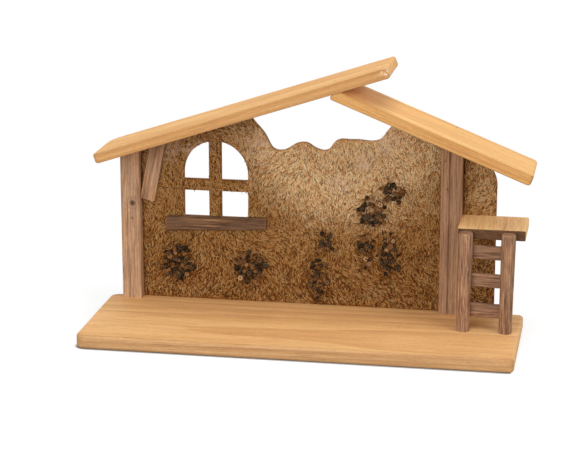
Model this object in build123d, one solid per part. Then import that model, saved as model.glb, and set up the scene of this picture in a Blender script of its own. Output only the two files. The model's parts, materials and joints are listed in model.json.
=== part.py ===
from build123d import *
import os
from math import cos, pi, radians, sin, sqrt, tan

# A small open stable: a pine base, two posts, a lapped two board roof and a straw covered back wall.
# Millimetres. The origin is the middle of the base's underside, X to the right, Y to the back, Z up.

# Base board
base_length = 400.0
base_depth = 134.0
base_thickness = 12.8
base_left_corner_radius = 9.0
base_right_corner_radius = 5.0
base_edge_radius = 2.8

# Posts, measured up to the roof's underside at their centre lines
left_post_inset = 13.8
left_post_width = 18.7
left_post_height = 150.3
right_post_inset = 59.2
right_post_width = 20.3
right_post_height = 170.2
post_depth = 12.5
post_edge_radius = 1.2

# Weather check, a split that runs up the right post's face
check_offset = 8.6
check_width = 0.9
check_depth = 1.6

# Roof boards: the right one is bevelled and lapped under the left one
roof_thickness = 9.7
roof_depth = 66.0
roof_edge_radius = 2.2
eave_corner_radius = 5.0
worn_corner_radius = 12.0
ridge_corner_radius = 3.0
left_pitch = 18.2
right_pitch = 21.9
left_eave_overhang = 9.4
right_eave_overhang = 64.5
ridge_overhang = 58.3
ridge_end_run = 1.0
lap_tip_radius = 2.5

# Back board, nailed to the rear of the base, the posts and the roof boards
wall_thickness = 3.0
wall_foot_clearance = 1.0
wall_left_inset = 1.7
wall_right_reach = 31.2
wall_roof_margin = 2.0
wall_corner_height = 120.0
wall_corner_run = 9.0
wall_corner_rise = 24.0
wall_corner_bulge = 3.2
wall_corner_lean = 40.0

# Wavy upper edge of the wall, from the window to the right post: shares of that run, drops below the ridge
wave_window_lap = 2.2
wave_post_gap = 36.5
wave_points = [(0.084, 42.8), (0.125, 50.3), (0.154, 58.8), (0.176, 63.3), (0.22, 65.3), (0.275, 62.8),
               (0.323, 58.2), (0.368, 56.7), (0.4, 57.4), (0.431, 60.4), (0.463, 62.7), (0.5, 63.8),
               (0.528, 62.6), (0.552, 58.2), (0.577, 54.1), (0.606, 52.4), (0.659, 52.5), (0.716, 52.3),
               (0.779, 53.1), (0.823, 52.8), (0.855, 50.9), (0.889, 44.4), (0.917, 39.4)]

# Arched window with cross bars, left free in the wall
window_gap = 41.3
window_width = 62.4
window_lift = 82.1
window_spring = 42.9
window_bar_lift = 25.6
window_bar_height = 10.9
window_mullion_width = 11.8
window_mullion_offset = -0.7

# Straw coat on the wall's front
straw_thickness = 2.0
straw_gap = 0.3

# Sill beam under the window, a split stick that narrows to the right
sill_left_reach = 17.2
sill_right_reach = 18.6
sill_left_lift = 66.7
sill_right_lift = 72.8
sill_left_height = 14.8
sill_right_height = 11.4
sill_depth = 4.5
sill_edge_radius = 1.2

# Knee brace between the left post and the roof
brace_lift = 99.0
brace_width = 14.5
brace_lean = 11.5
brace_seat = 5.0
brace_foot_rake = 3.0
brace_depth = 6.0
brace_edge_radius = 1.2

# Ledge and the fence under it
ledge_overhang = 2.5
ledge_depth = 50.0
ledge_thickness = 9.7
ledge_lift = 95.3
ledge_edge_radius = 1.2
fence_foot_radius = 5.9
fence_top_radius = 6.6
fence_top_drop = 1.8
fence_seat_gap = 0.1
fence_right_inset = 15.8
fence_left_inset = 7.0
fence_lean = 0.65
fence_top_rounding = 0.7
rail_lifts = {"bottom": 11.5, "middle": 40.2, "top": 66.8}
rail_reaches = {"bottom": 2.3, "middle": 5.9, "top": 2.7}
rail_height = 12.7
rail_thickness = 5.2
rail_left_reach = 4.0
rail_waver = 0.5
rail_edge_radius = 1.0

# Dried seed heads glued to the straw in oval patches: share of the way from the left post to the right one,
# height of the middle above the base, half width and half height
seed_radius = 2.0
seed_foot_radius = 1.1
seed_rim_radius = 1.5
seed_mouth_radius = 1.0
seed_belly = 1.3
seed_height = 2.8
seed_mouth_depth = 0.9
seed_sides = 6
seed_gap = 1.2
seed_patches = {
    "seeds_by_left_post": [(0.124, 36.8, 14.6, 16.9)],
    "seeds_below_window": [(0.365, 33.0, 13.6, 15.8)],
    "seeds_middle_high": [(0.622, 61.5, 7.0, 9.5)],
    "seeds_middle_low": [(0.594, 26.6, 9.0, 20.0)],
    "seeds_right_high": [(0.774, 93.7, 14.4, 12.6), (0.843, 114.0, 10.0, 9.5)],
    "seeds_right_low": [(0.753, 56.6, 6.4, 16.0), (0.829, 54.2, 8.4, 20.3)],
}

# Fasteners
hole_clearance = 0.1
tack_radius = 0.7
tack_head_radius = 2.0
tack_head_height = 0.6
tack_bite = 7.0
nail_radius = 0.7
nail_head_radius = 1.2
nail_head_height = 0.8
nail_bite = 16.0
ridge_nail_bite = 5.5
ridge_nail_share = 0.7
ridge_nail_inset = 16.0
screw_radius = 1.5
screw_head_radius = 3.2
screw_head_height = 1.9
screw_bite = 12.0
screw_sink = 0.4
pin_radius = 0.6
pin_sink = 0.3
pin_ledge_bite = 8.0
pin_rail_bite = 3.5
tack_end_margin = 24.0
base_tack_count = 4
post_tack_count = 3
left_roof_tack_offsets = [25.0, 80.0]
right_roof_tack_offsets = [2.5, 38.0]
ledge_tack_offsets = [9.0, 24.0]

# Places that follow from the sizes above
base_top = base_thickness
back_plane = base_depth / 2
straw_front = back_plane - straw_thickness
wall_back = back_plane + wall_thickness
post_front = back_plane - post_depth
left_post_left = -base_length / 2 + left_post_inset
left_post_right = left_post_left + left_post_width
left_post_middle = left_post_left + left_post_width / 2
right_post_right = base_length / 2 - right_post_inset
right_post_left = right_post_right - right_post_width
right_post_middle = right_post_left + right_post_width / 2
left_slope = tan(radians(left_pitch))
right_slope = -tan(radians(right_pitch))
wall_left = left_post_left + wall_left_inset
wall_right = right_post_right + wall_right_reach
window_left = left_post_right + window_gap
window_middle = window_left + window_width / 2
window_bottom = base_top + window_lift
ledge_left = right_post_right
ledge_right = base_length / 2 + ledge_overhang
ledge_top = base_top + ledge_lift
ledge_front = straw_front - ledge_depth
fence_y = ledge_front - fence_seat_gap - fence_top_radius
fence_top = ledge_top - fence_top_drop
fence_feet = {"fence_left": ledge_left + fence_left_inset, "fence_right": ledge_right - fence_right_inset}
wave_left = window_left + window_width - wave_window_lap
wave_right = right_post_left - wave_post_gap


def left_underside(x):
    """Height of the left roof board's underside."""
    return base_top + left_post_height + left_slope * (x - left_post_middle)


def right_underside(x):
    """Height of the right roof board's underside."""
    return base_top + right_post_height + right_slope * (x - right_post_middle)


def meeting(first, second, rise=0.0):
    """Place along X where a first roof line meets a second one raised by a rise."""
    return (second(0) + rise - first(0)) / ((first(1) - first(0)) - (second(1) - second(0)))


lap_x = meeting(left_underside, right_underside)
ridge_z = left_underside(lap_x)


def spaced(start, end, count):
    """Evenly spaced places that keep the tacks' margin from both ends."""
    first, last = start + tack_end_margin, end - tack_end_margin
    return [first + (last - first) * step / (count - 1) for step in range(count)]


def outline(points):
    """Face with straight sides through points in X and Z."""
    return make_face(Polyline(*points, close=True))


def slab(profile, front, back):
    """Solid of an X and Z profile between two depths."""
    return extrude(Plane((0, back, 0), x_dir=(1, 0, 0), z_dir=(0, -1, 0)) * profile, back - front)


def long_edges(solid):
    """Edges of a slab that don't run along its depth."""
    return solid.edges() - solid.edges().filter_by(Axis.Y)


def bore(place, radius, length):
    """Round hole cutter from a place along its own Z."""
    return place * Cylinder(radius, length, align=(Align.CENTER, Align.CENTER, Align.MIN))


def tack_places():
    """Places on the wall's rear face where tacks go in, by the piece that they hold."""
    left_mid = roof_thickness / 2 / cos(radians(left_pitch))
    right_mid = roof_thickness / 2 / cos(radians(right_pitch))
    left_roof = [left_post_right + offset for offset in left_roof_tack_offsets]
    right_roof = [right_post_right - offset for offset in right_roof_tack_offsets]
    spots = {
        "base": [(x, base_thickness / 2) for x in spaced(wall_left, wall_right, base_tack_count)],
        "left_post": [(left_post_middle, z)
                      for z in spaced(base_top, base_top + left_post_height, post_tack_count)],
        "right_post": [(right_post_middle, z)
                       for z in spaced(base_top, base_top + right_post_height, post_tack_count)],
        "left_roof": [(x, left_underside(x) + left_mid) for x in left_roof],
        "right_roof": [(x, right_underside(x) + right_mid) for x in right_roof],
        "ledge": [(ledge_left + offset, ledge_top - ledge_thickness / 2) for offset in ledge_tack_offsets],
    }
    return {piece: [Plane((x, wall_back, z), x_dir=(1, 0, 0), z_dir=(0, -1, 0)) for x, z in places]
            for piece, places in spots.items()}


def tack_reach(piece):
    """Length of a tack's shank, which also crosses the straw to reach the ledge."""
    crossed = wall_thickness + (straw_thickness if piece == "ledge" else 0.0)
    return crossed + tack_bite


def tack_holes(piece):
    """Cutters for the tacks that hold one piece."""
    return [bore(place, tack_radius + hole_clearance, tack_reach(piece) + hole_clearance)
            for place in tack_places()[piece]]


def nail_place(underside, slope, x, y):
    """Place of a nail on a roof board's top, above a point of its underside, pointing into the board."""
    angle = radians(slope)
    top = (x - roof_thickness * sin(angle), y, underside(x) + roof_thickness * cos(angle))
    return Plane(top, x_dir=(0, 1, 0), z_dir=(sin(angle), 0, -cos(angle)))


def lap_nail_x():
    """Place along X of the nails that go through the left board into the lapped end."""
    lap_end = meeting(left_underside, right_underside, roof_thickness / cos(radians(right_pitch)))
    return lap_x + ridge_nail_share * (lap_end - lap_x)


def left_post_nail():
    """Place of the nail from the left roof board into its post."""
    return nail_place(left_underside, left_pitch, left_post_middle, post_front + post_depth / 2)


def right_post_nail():
    """Place of the nail from the right roof board into its post."""
    return nail_place(right_underside, -right_pitch, right_post_middle, post_front + post_depth / 2)


def ridge_nails():
    """Places of the nails that hold the lap."""
    front = back_plane - roof_depth
    depths = [front + ridge_nail_inset, back_plane - ridge_nail_inset]
    return [nail_place(left_underside, left_pitch, lap_nail_x(), y) for y in depths]


def flush_head(place, radius, head_radius, head_height):
    """Cone under a flush head."""
    return place * Cone(head_radius, radius, head_height, align=(Align.CENTER, Align.CENTER, Align.MIN))


def nail_holes(place, bite):
    """Cutters for one flush nail."""
    grown = nail_head_radius + hole_clearance
    return [bore(place, nail_radius + hole_clearance, roof_thickness + bite + hole_clearance),
            flush_head(place, nail_radius + hole_clearance, grown, nail_head_height + hole_clearance)]


def screw_places():
    """Places under the base of the screws that hold the posts."""
    post_y = post_front + post_depth / 2
    spots = {"left_post": (left_post_middle, post_y), "right_post": (right_post_middle, post_y)}
    spots.update({name: (x, fence_y) for name, x in fence_feet.items()})
    return {name: Plane((x, y, screw_sink), x_dir=(1, 0, 0), z_dir=(0, 0, 1))
            for name, (x, y) in spots.items()}


def screw_reach():
    """Length of a screw from its head's top face."""
    return base_thickness - screw_sink + screw_bite


def screw_hole(name):
    """Cutter for the screw under one post."""
    return bore(screw_places()[name], screw_radius + hole_clearance, screw_reach() + hole_clearance)


def fence_radius(z):
    """Radius of a fence post at a height."""
    share = (z - base_top) / (fence_top - base_top)
    return fence_foot_radius + (fence_top_radius - fence_foot_radius) * share


def fence_x(name, z):
    """Middle of a leaning fence post at a height."""
    return fence_feet[name] + (z - base_top) * tan(radians(fence_lean))


def pin_spots():
    """Heights of a fence post's pins and how far each one reaches past the post."""
    spots = {rail: (base_top + lift + rail_height / 2, pin_rail_bite) for rail, lift in rail_lifts.items()}
    spots["ledge"] = ((ledge_top - ledge_thickness + fence_top) / 2, pin_ledge_bite)
    return spots


def pin(name, target, grow=0.0):
    """Headless pin through a fence post into one of the pieces behind it."""
    z, bite = pin_spots()[target]
    start = fence_y - fence_radius(z) + pin_sink
    place = Plane((fence_x(name, z), start - grow, z), x_dir=(1, 0, 0), z_dir=(0, 1, 0))
    return bore(place, pin_radius + grow, ledge_front + bite - start + 2 * grow)


def base_board():
    """Base with rounded corners, drilled from below for the posts and from behind for the wall."""
    plan = Rectangle(base_length, base_depth)
    plan = fillet(plan.vertices().sort_by(Axis.X)[:2], base_left_corner_radius)
    plan = fillet(plan.vertices().sort_by(Axis.X)[-2:], base_right_corner_radius)
    board = extrude(plan, base_thickness)
    rims = board.edges().group_by(Axis.Z)[0] + board.edges().group_by(Axis.Z)[-1]
    board = fillet(rims, base_edge_radius)
    for name, place in screw_places().items():
        below = Plane((place.origin.X, place.origin.Y, 0), x_dir=(1, 0, 0), z_dir=(0, 0, 1))
        board -= [screw_hole(name), bore(below, screw_head_radius + hole_clearance, screw_sink),
                  flush_head(place, screw_radius + hole_clearance, screw_head_radius + hole_clearance,
                             screw_head_height + hole_clearance)]
    return board - tack_holes("base")


def post(left, right, underside, name, nail):
    """Upright whose top is cut to the slope of the roof board that it carries."""
    profile = outline([(left, base_top), (right, base_top), (right, underside(right)),
                       (left, underside(left))])
    upright = slab(profile, post_front, back_plane)
    upright = fillet(upright.edges().filter_by(Axis.Z), post_edge_radius)
    return upright - [screw_hole(name)] - tack_holes(name) - nail_holes(nail, nail_bite)


def split_post():
    """Right post, with the weather check that runs up its face."""
    upright = post(right_post_left, right_post_right, right_underside, "right_post", right_post_nail())
    tall = right_underside(right_post_left) - base_top
    place = Pos(right_post_left + check_offset, post_front + check_depth / 2, base_top + tall / 2)
    return upright - place * Box(check_width, check_depth, tall)


def board_corners(board):
    """Short straight edges at a roof board's corners."""
    return board.edges().filter_by(GeomType.LINE).filter_by(lambda edge: edge.length < 2 * roof_thickness)


def left_eave_corners(board):
    """The two corners at the left end of a roof board, the front one first."""
    return board_corners(board).sort_by(Axis.X)[:2].sort_by(Axis.Y)


def roof_board_left():
    """Upper roof board, worn round at its eave's rear corner, that runs on past the lap to a raked end."""
    angle = radians(left_pitch)
    low, high = left_post_left - left_eave_overhang, lap_x + ridge_overhang
    raked = high + ridge_end_run * cos(angle)
    shift_x, shift_z = -roof_thickness * sin(angle), roof_thickness * cos(angle)
    profile = outline([(low, left_underside(low)), (raked, left_underside(raked)),
                       (high + shift_x, left_underside(high) + shift_z),
                       (low + shift_x, left_underside(low) + shift_z)])
    board = slab(profile, back_plane - roof_depth, back_plane)
    board = fillet(board_corners(board).sort_by(Axis.X)[-2:], ridge_corner_radius)
    board = fillet(left_eave_corners(board)[-1], worn_corner_radius)
    board = fillet(left_eave_corners(board)[0], eave_corner_radius)
    board = fillet(board.edges() - board_corners(board), roof_edge_radius)
    board -= tack_holes("left_roof")
    board -= nail_holes(left_post_nail(), nail_bite)
    for place in ridge_nails():
        board -= nail_holes(place, ridge_nail_bite)
    return board


def roof_board_right():
    """Lower roof board, bevelled at its upper end to lie flat under the other board."""
    angle = radians(right_pitch)
    low = right_post_right + right_eave_overhang
    lap_end = meeting(left_underside, right_underside, roof_thickness / cos(angle))
    shift_x, shift_z = roof_thickness * sin(angle), roof_thickness * cos(angle)
    profile = outline([(lap_x, left_underside(lap_x)), (low, right_underside(low)),
                       (low + shift_x, right_underside(low) + shift_z), (lap_end, left_underside(lap_end))])
    profile = fillet(profile.vertices().sort_by(Axis.X)[0], lap_tip_radius)
    board = slab(profile, back_plane - roof_depth, back_plane)
    outer = board.faces().sort_by(Axis.X)[-1].edges()
    board = fillet(outer - outer.filter_by(Axis.Y), eave_corner_radius)
    rims = board.edges().filter_by(lambda edge: edge.center().X > lap_end + roof_edge_radius)
    board = fillet(rims - board_corners(board), roof_edge_radius)
    board -= tack_holes("right_roof")
    board -= nail_holes(right_post_nail(), nail_bite)
    for place in ridge_nails():
        board -= nail_holes(place, ridge_nail_bite)
    return board


def window_face():
    """The four openings of the window: an arched hole less its cross bars."""
    half = window_width / 2
    spring = window_bottom + window_spring
    right = window_left + window_width
    edges = (Line((window_left, window_bottom), (right, window_bottom))
             + Line((right, window_bottom), (right, spring))
             + ThreePointArc((right, spring), (window_middle, spring + half), (window_left, spring))
             + Line((window_left, spring), (window_left, window_bottom)))
    tall = window_spring + half
    mullion_middle = window_middle + window_mullion_offset
    mullion = Pos(mullion_middle, window_bottom + tall / 2) * Rectangle(window_mullion_width, tall)
    bar_middle = window_bottom + window_bar_lift + window_bar_height / 2
    bar = Pos(window_middle, bar_middle) * Rectangle(window_width, window_bar_height)
    return make_face(edges) - mullion - bar


def wall_face(bottom, left_top, right_top):
    """The wall's outline: wavy in the middle, under two roof lines, rounded at the upper right."""
    corner_z = base_top + wall_corner_height
    corner_end = (wall_right - wall_corner_run, corner_z + wall_corner_rise)
    corner_mid = (wall_right - wall_corner_run / 2 + wall_corner_bulge, corner_z + wall_corner_rise / 2)
    lean = -tan(radians(90 - wall_corner_lean))
    corner_top_x = meeting(lambda x: corner_end[1] + lean * (x - corner_end[0]), right_top)
    corner_top = (corner_top_x, right_top(corner_top_x))
    wave_end = (wave_right, right_top(wave_right))
    wave_start = (wave_left, left_top(wave_left))
    wave = [(wave_left + share * (wave_right - wave_left), ridge_z - drop) for share, drop in wave_points]
    edges = (Line((wall_left, bottom), (wall_right, bottom))
             + Line((wall_right, bottom), (wall_right, corner_z))
             + ThreePointArc((wall_right, corner_z), corner_mid, corner_end) + Line(corner_end, corner_top)
             + Line(corner_top, wave_end) + Spline(wave_start, *wave, wave_end)
             + Line(wave_start, (wall_left, left_top(wall_left)))
             + Line((wall_left, left_top(wall_left)), (wall_left, bottom)))
    return make_face(edges)


def back_board():
    """Thin wall behind the whole stable, with the window sawn out."""
    left_rise = (roof_thickness - wall_roof_margin) / cos(radians(left_pitch))
    right_rise = (roof_thickness - wall_roof_margin) / cos(radians(right_pitch))
    face = wall_face(wall_foot_clearance, lambda x: left_underside(x) + left_rise,
                     lambda x: right_underside(x) + right_rise) - window_face()
    board = slab(face, back_plane, wall_back)
    for piece in tack_places():
        board -= tack_holes(piece)
    return board


def straw_field(left, right):
    """Straw on the part of the wall between two places along X, from the base to the roof."""
    face = wall_face(base_top, lambda x: left_underside(x) - straw_gap,
                     lambda x: right_underside(x) - straw_gap)
    tall = base_top + left_post_height + right_post_height
    band = Pos((left + right) / 2, tall / 2) * Rectangle(right - left, tall)
    return slab((face - window_face()) & band, straw_front, back_plane) - tack_holes("ledge")


def window_sill():
    """Split stick under the window, glued on the straw."""
    left, right = window_left - sill_left_reach, window_left + window_width + sill_right_reach
    low, high = base_top + sill_left_lift, base_top + sill_right_lift
    profile = outline([(left, low), (right, high), (right, high + sill_right_height),
                       (left, low + sill_left_height)])
    stick = slab(profile, straw_front - sill_depth, straw_front)
    return fillet(long_edges(stick).group_by(Axis.Y)[0], sill_edge_radius)


def left_brace():
    """Leaning stick that bears on the left post's side and under the roof."""
    lean = tan(radians(brace_lean))
    low = base_top + brace_lift
    across = brace_width / cos(radians(brace_lean))

    def top(start):
        x = (start + lean * (left_underside(0) - low - brace_seat)) / (1 - lean * left_slope)
        return (x, left_underside(x))

    right_foot = (left_post_right + across - lean * (brace_seat + brace_foot_rake),
                  low - brace_foot_rake)
    profile = outline([(left_post_right, low), right_foot, top(left_post_right + across),
                       top(left_post_right), (left_post_right, low + brace_seat)])
    stick = slab(profile, straw_front - brace_depth, straw_front)
    return fillet(long_edges(stick).group_by(Axis.Y)[0], brace_edge_radius)


def ledge_board():
    """Shelf beside the right post, nailed through the wall."""
    length = ledge_right - ledge_left
    place = Pos(ledge_left + length / 2, ledge_front + ledge_depth / 2, ledge_top - ledge_thickness / 2)
    board = place * Box(length, ledge_depth, ledge_thickness)
    outer = board.faces().sort_by(Axis.X)[-1].edges() + board.faces().sort_by(Axis.Y)[0].edges()
    board = fillet(outer, ledge_edge_radius)
    pins = [pin(name, "ledge", hole_clearance) for name in fence_feet]
    return board - tack_holes("ledge") - pins


def fence_post(name):
    """Round stick in front of the ledge, a little thicker at the top, that leans to the right."""
    rings = [Pos(fence_x(name, z), fence_y, z) * Circle(fence_radius(z)) for z in (base_top, fence_top)]
    stick = loft(rings)
    stick = fillet(stick.edges().sort_by(Axis.Z)[-1], fence_top_rounding)
    return stick - [screw_hole(name)] - [pin(name, target, hole_clearance) for target in pin_spots()]


def fence_rail(name):
    """Split slat with slightly bowed edges, pinned behind both fence posts."""
    low = base_top + rail_lifts[name]
    high = low + rail_height
    left = fence_x("fence_left", low) - rail_left_reach
    right = fence_x("fence_right", low) + rail_reaches[name]
    third = (right - left) / 3
    lower = Spline((left, low), (left + third, low - rail_waver), (right - third, low + rail_waver),
                   (right, low))
    upper = Spline((right, high), (right - third, high + rail_waver), (left + third, high - rail_waver),
                   (left, high))
    edges = lower + Line((right, low), (right, high)) + upper + Line((left, high), (left, low))
    slat = slab(make_face(edges), ledge_front, ledge_front + rail_thickness)
    slat = fillet(slat.edges().filter_by(Axis.Y), rail_edge_radius)
    return slat - [pin(foot, name, hole_clearance) for foot in fence_feet]


def seed_head():
    """Small dried seed head, cupped at its tip, standing on its foot along Z."""
    rings = [(seed_foot_radius, 0.0), (seed_radius, seed_belly), (seed_rim_radius, seed_height)]
    body = loft([Pos(0, 0, z) * RegularPolygon(radius, seed_sides) for radius, z in rings], ruled=True)
    rim = Pos(0, 0, seed_height) * RegularPolygon(seed_mouth_radius, seed_sides)
    pit = Pos(0, 0, seed_height - seed_mouth_depth) * RegularPolygon(seed_mouth_radius / 2, seed_sides)
    return body - loft([pit, rim], ruled=True)


def seed_patch(share, lift, half_width, half_height):
    """Seed heads spread evenly over an oval patch of straw, by a turning golden angle."""
    middle_x = left_post_right + share * (right_post_left - left_post_right)
    room = 2 * seed_radius + seed_gap
    count = int(pi * half_width * half_height / room ** 2)
    golden_angle = pi * (3 - sqrt(5))
    head = seed_head()
    heads = []
    for step in range(count):
        reach = sqrt((step + 0.5) / count)
        x = middle_x + half_width * reach * cos(step * golden_angle)
        z = base_top + lift + half_height * reach * sin(step * golden_angle)
        heads.append(Plane((x, straw_front, z), x_dir=(1, 0, 0), z_dir=(0, -1, 0)) * head)
    return heads


def wall_tacks():
    """Flat headed tacks driven from behind."""
    tacks = []
    for piece, places in tack_places().items():
        for place in places:
            head = place.offset(-tack_head_height) * Cylinder(tack_head_radius, tack_head_height,
                                                              align=(Align.CENTER, Align.CENTER, Align.MIN))
            tacks.append(head + bore(place, tack_radius, tack_reach(piece)))
    return tacks


def flush_fastener(place, radius, length, head_radius, head_height):
    """Nail or screw with a flush cone head, along its place's Z."""
    return bore(place, radius, length) + flush_head(place, radius, head_radius, head_height)


def roof_nails():
    """Nails from the roof boards into the posts and through the lap."""
    size = (nail_head_radius, nail_head_height)
    nails = [flush_fastener(place, nail_radius, roof_thickness + nail_bite, *size)
             for place in (left_post_nail(), right_post_nail())]
    return nails + [flush_fastener(place, nail_radius, roof_thickness + ridge_nail_bite, *size)
                    for place in ridge_nails()]


def post_screws():
    """Screws from under the base into the posts."""
    return [flush_fastener(place, screw_radius, screw_reach(), screw_head_radius, screw_head_height)
            for place in screw_places().values()]


def fence_pins():
    """Headless pins through the fence posts."""
    return [pin(name, target) for name in fence_feet for target in pin_spots()]


def main():
    """Builds every piece and writes one file for each."""
    nodes = {
        "base_board": base_board(),
        "left_post": post(left_post_left, left_post_right, left_underside, "left_post", left_post_nail()),
        "right_post": split_post(),
        "roof_board_left": roof_board_left(),
        "roof_board_right": roof_board_right(),
        "back_board": back_board(),
        "straw_coat_main": straw_field(left_post_right + straw_gap, right_post_left - straw_gap),
        "straw_coat_right": straw_field(right_post_right + straw_gap, wall_right),
        "window_sill": window_sill(),
        "left_brace": left_brace(),
        "ledge_board": ledge_board(),
        "fence_post_left": fence_post("fence_left"),
        "fence_post_right": fence_post("fence_right"),
        "wall_tacks": Compound(children=wall_tacks()),
        "roof_nails": Compound(children=roof_nails()),
        "post_screws": Compound(children=post_screws()),
        "fence_pins": Compound(children=fence_pins()),
    }
    for name in rail_lifts:
        nodes["fence_rail_" + name] = fence_rail(name)
    for name, ovals in seed_patches.items():
        nodes[name] = Compound(children=[head for oval in ovals for head in seed_patch(*oval)])
    os.makedirs("parts", exist_ok=True)
    for name, shape in nodes.items():
        shape.label = name
        export_step(shape, os.path.join("parts", name + ".step"))


main()
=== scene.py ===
"""Looks of a small open wooden stable with a straw wall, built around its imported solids.

Metres, in the frame of the solids: X to the right, Y to the back, Z up.
"""
import json
import logging
import math
from abc import ABC, abstractmethod
from collections.abc import Iterable, Sequence
from dataclasses import dataclass, field
from enum import Enum
from functools import cache

import bmesh
import bpy
import numpy as np
from mathutils import Matrix, Vector, bvhtree, kdtree, noise

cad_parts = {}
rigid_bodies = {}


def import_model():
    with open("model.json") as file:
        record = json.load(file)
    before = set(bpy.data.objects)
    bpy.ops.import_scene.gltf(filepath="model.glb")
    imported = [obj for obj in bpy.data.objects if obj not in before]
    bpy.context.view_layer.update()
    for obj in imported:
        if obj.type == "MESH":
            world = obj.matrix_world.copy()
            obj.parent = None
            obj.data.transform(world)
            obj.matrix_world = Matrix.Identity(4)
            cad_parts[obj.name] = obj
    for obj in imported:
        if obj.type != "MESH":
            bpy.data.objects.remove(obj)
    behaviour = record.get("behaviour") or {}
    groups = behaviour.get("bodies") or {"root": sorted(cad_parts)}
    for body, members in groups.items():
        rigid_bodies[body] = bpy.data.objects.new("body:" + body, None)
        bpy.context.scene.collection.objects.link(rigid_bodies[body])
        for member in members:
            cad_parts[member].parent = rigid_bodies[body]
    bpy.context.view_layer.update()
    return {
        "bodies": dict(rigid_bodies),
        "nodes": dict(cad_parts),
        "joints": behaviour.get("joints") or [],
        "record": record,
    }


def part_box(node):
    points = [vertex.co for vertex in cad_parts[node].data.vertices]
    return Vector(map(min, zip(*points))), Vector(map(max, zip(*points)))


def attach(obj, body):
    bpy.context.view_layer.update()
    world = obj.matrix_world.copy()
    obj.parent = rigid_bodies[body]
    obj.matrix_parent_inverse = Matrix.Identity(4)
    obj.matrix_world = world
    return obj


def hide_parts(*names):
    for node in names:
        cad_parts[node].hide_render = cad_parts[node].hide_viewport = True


MM = 0.001
SAME_POINT = 0.01 * MM
BODY = "root"
LEFT_PITCH = 18.2
RIGHT_PITCH = 21.9
RING_SPACING = 0.314
WHITE = (1.0, 1.0, 1.0, 1.0)
UNTURNED = (0.0, 0.0, 0.0)

Colour = tuple[float, float, float, float]
Socket = bpy.types.NodeSocket
Sockets = bpy.types.bpy_prop_collection
log = logging.getLogger("stable")


def tint(red: int, green: int, blue: int) -> Colour:
    """Linear colour of a tint as it looks.

    Args:
        red, green, blue: parts of the tint, from 0 to 255.

    Returns:
        The colour that a shader socket takes.
    """
    shares = np.array([red, green, blue]) / 255
    linear = np.where(shares <= 0.04045, shares / 12.92, ((shares + 0.055) / 1.055) ** 2.4)
    return (*(float(part) for part in linear), 1.0)


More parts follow.
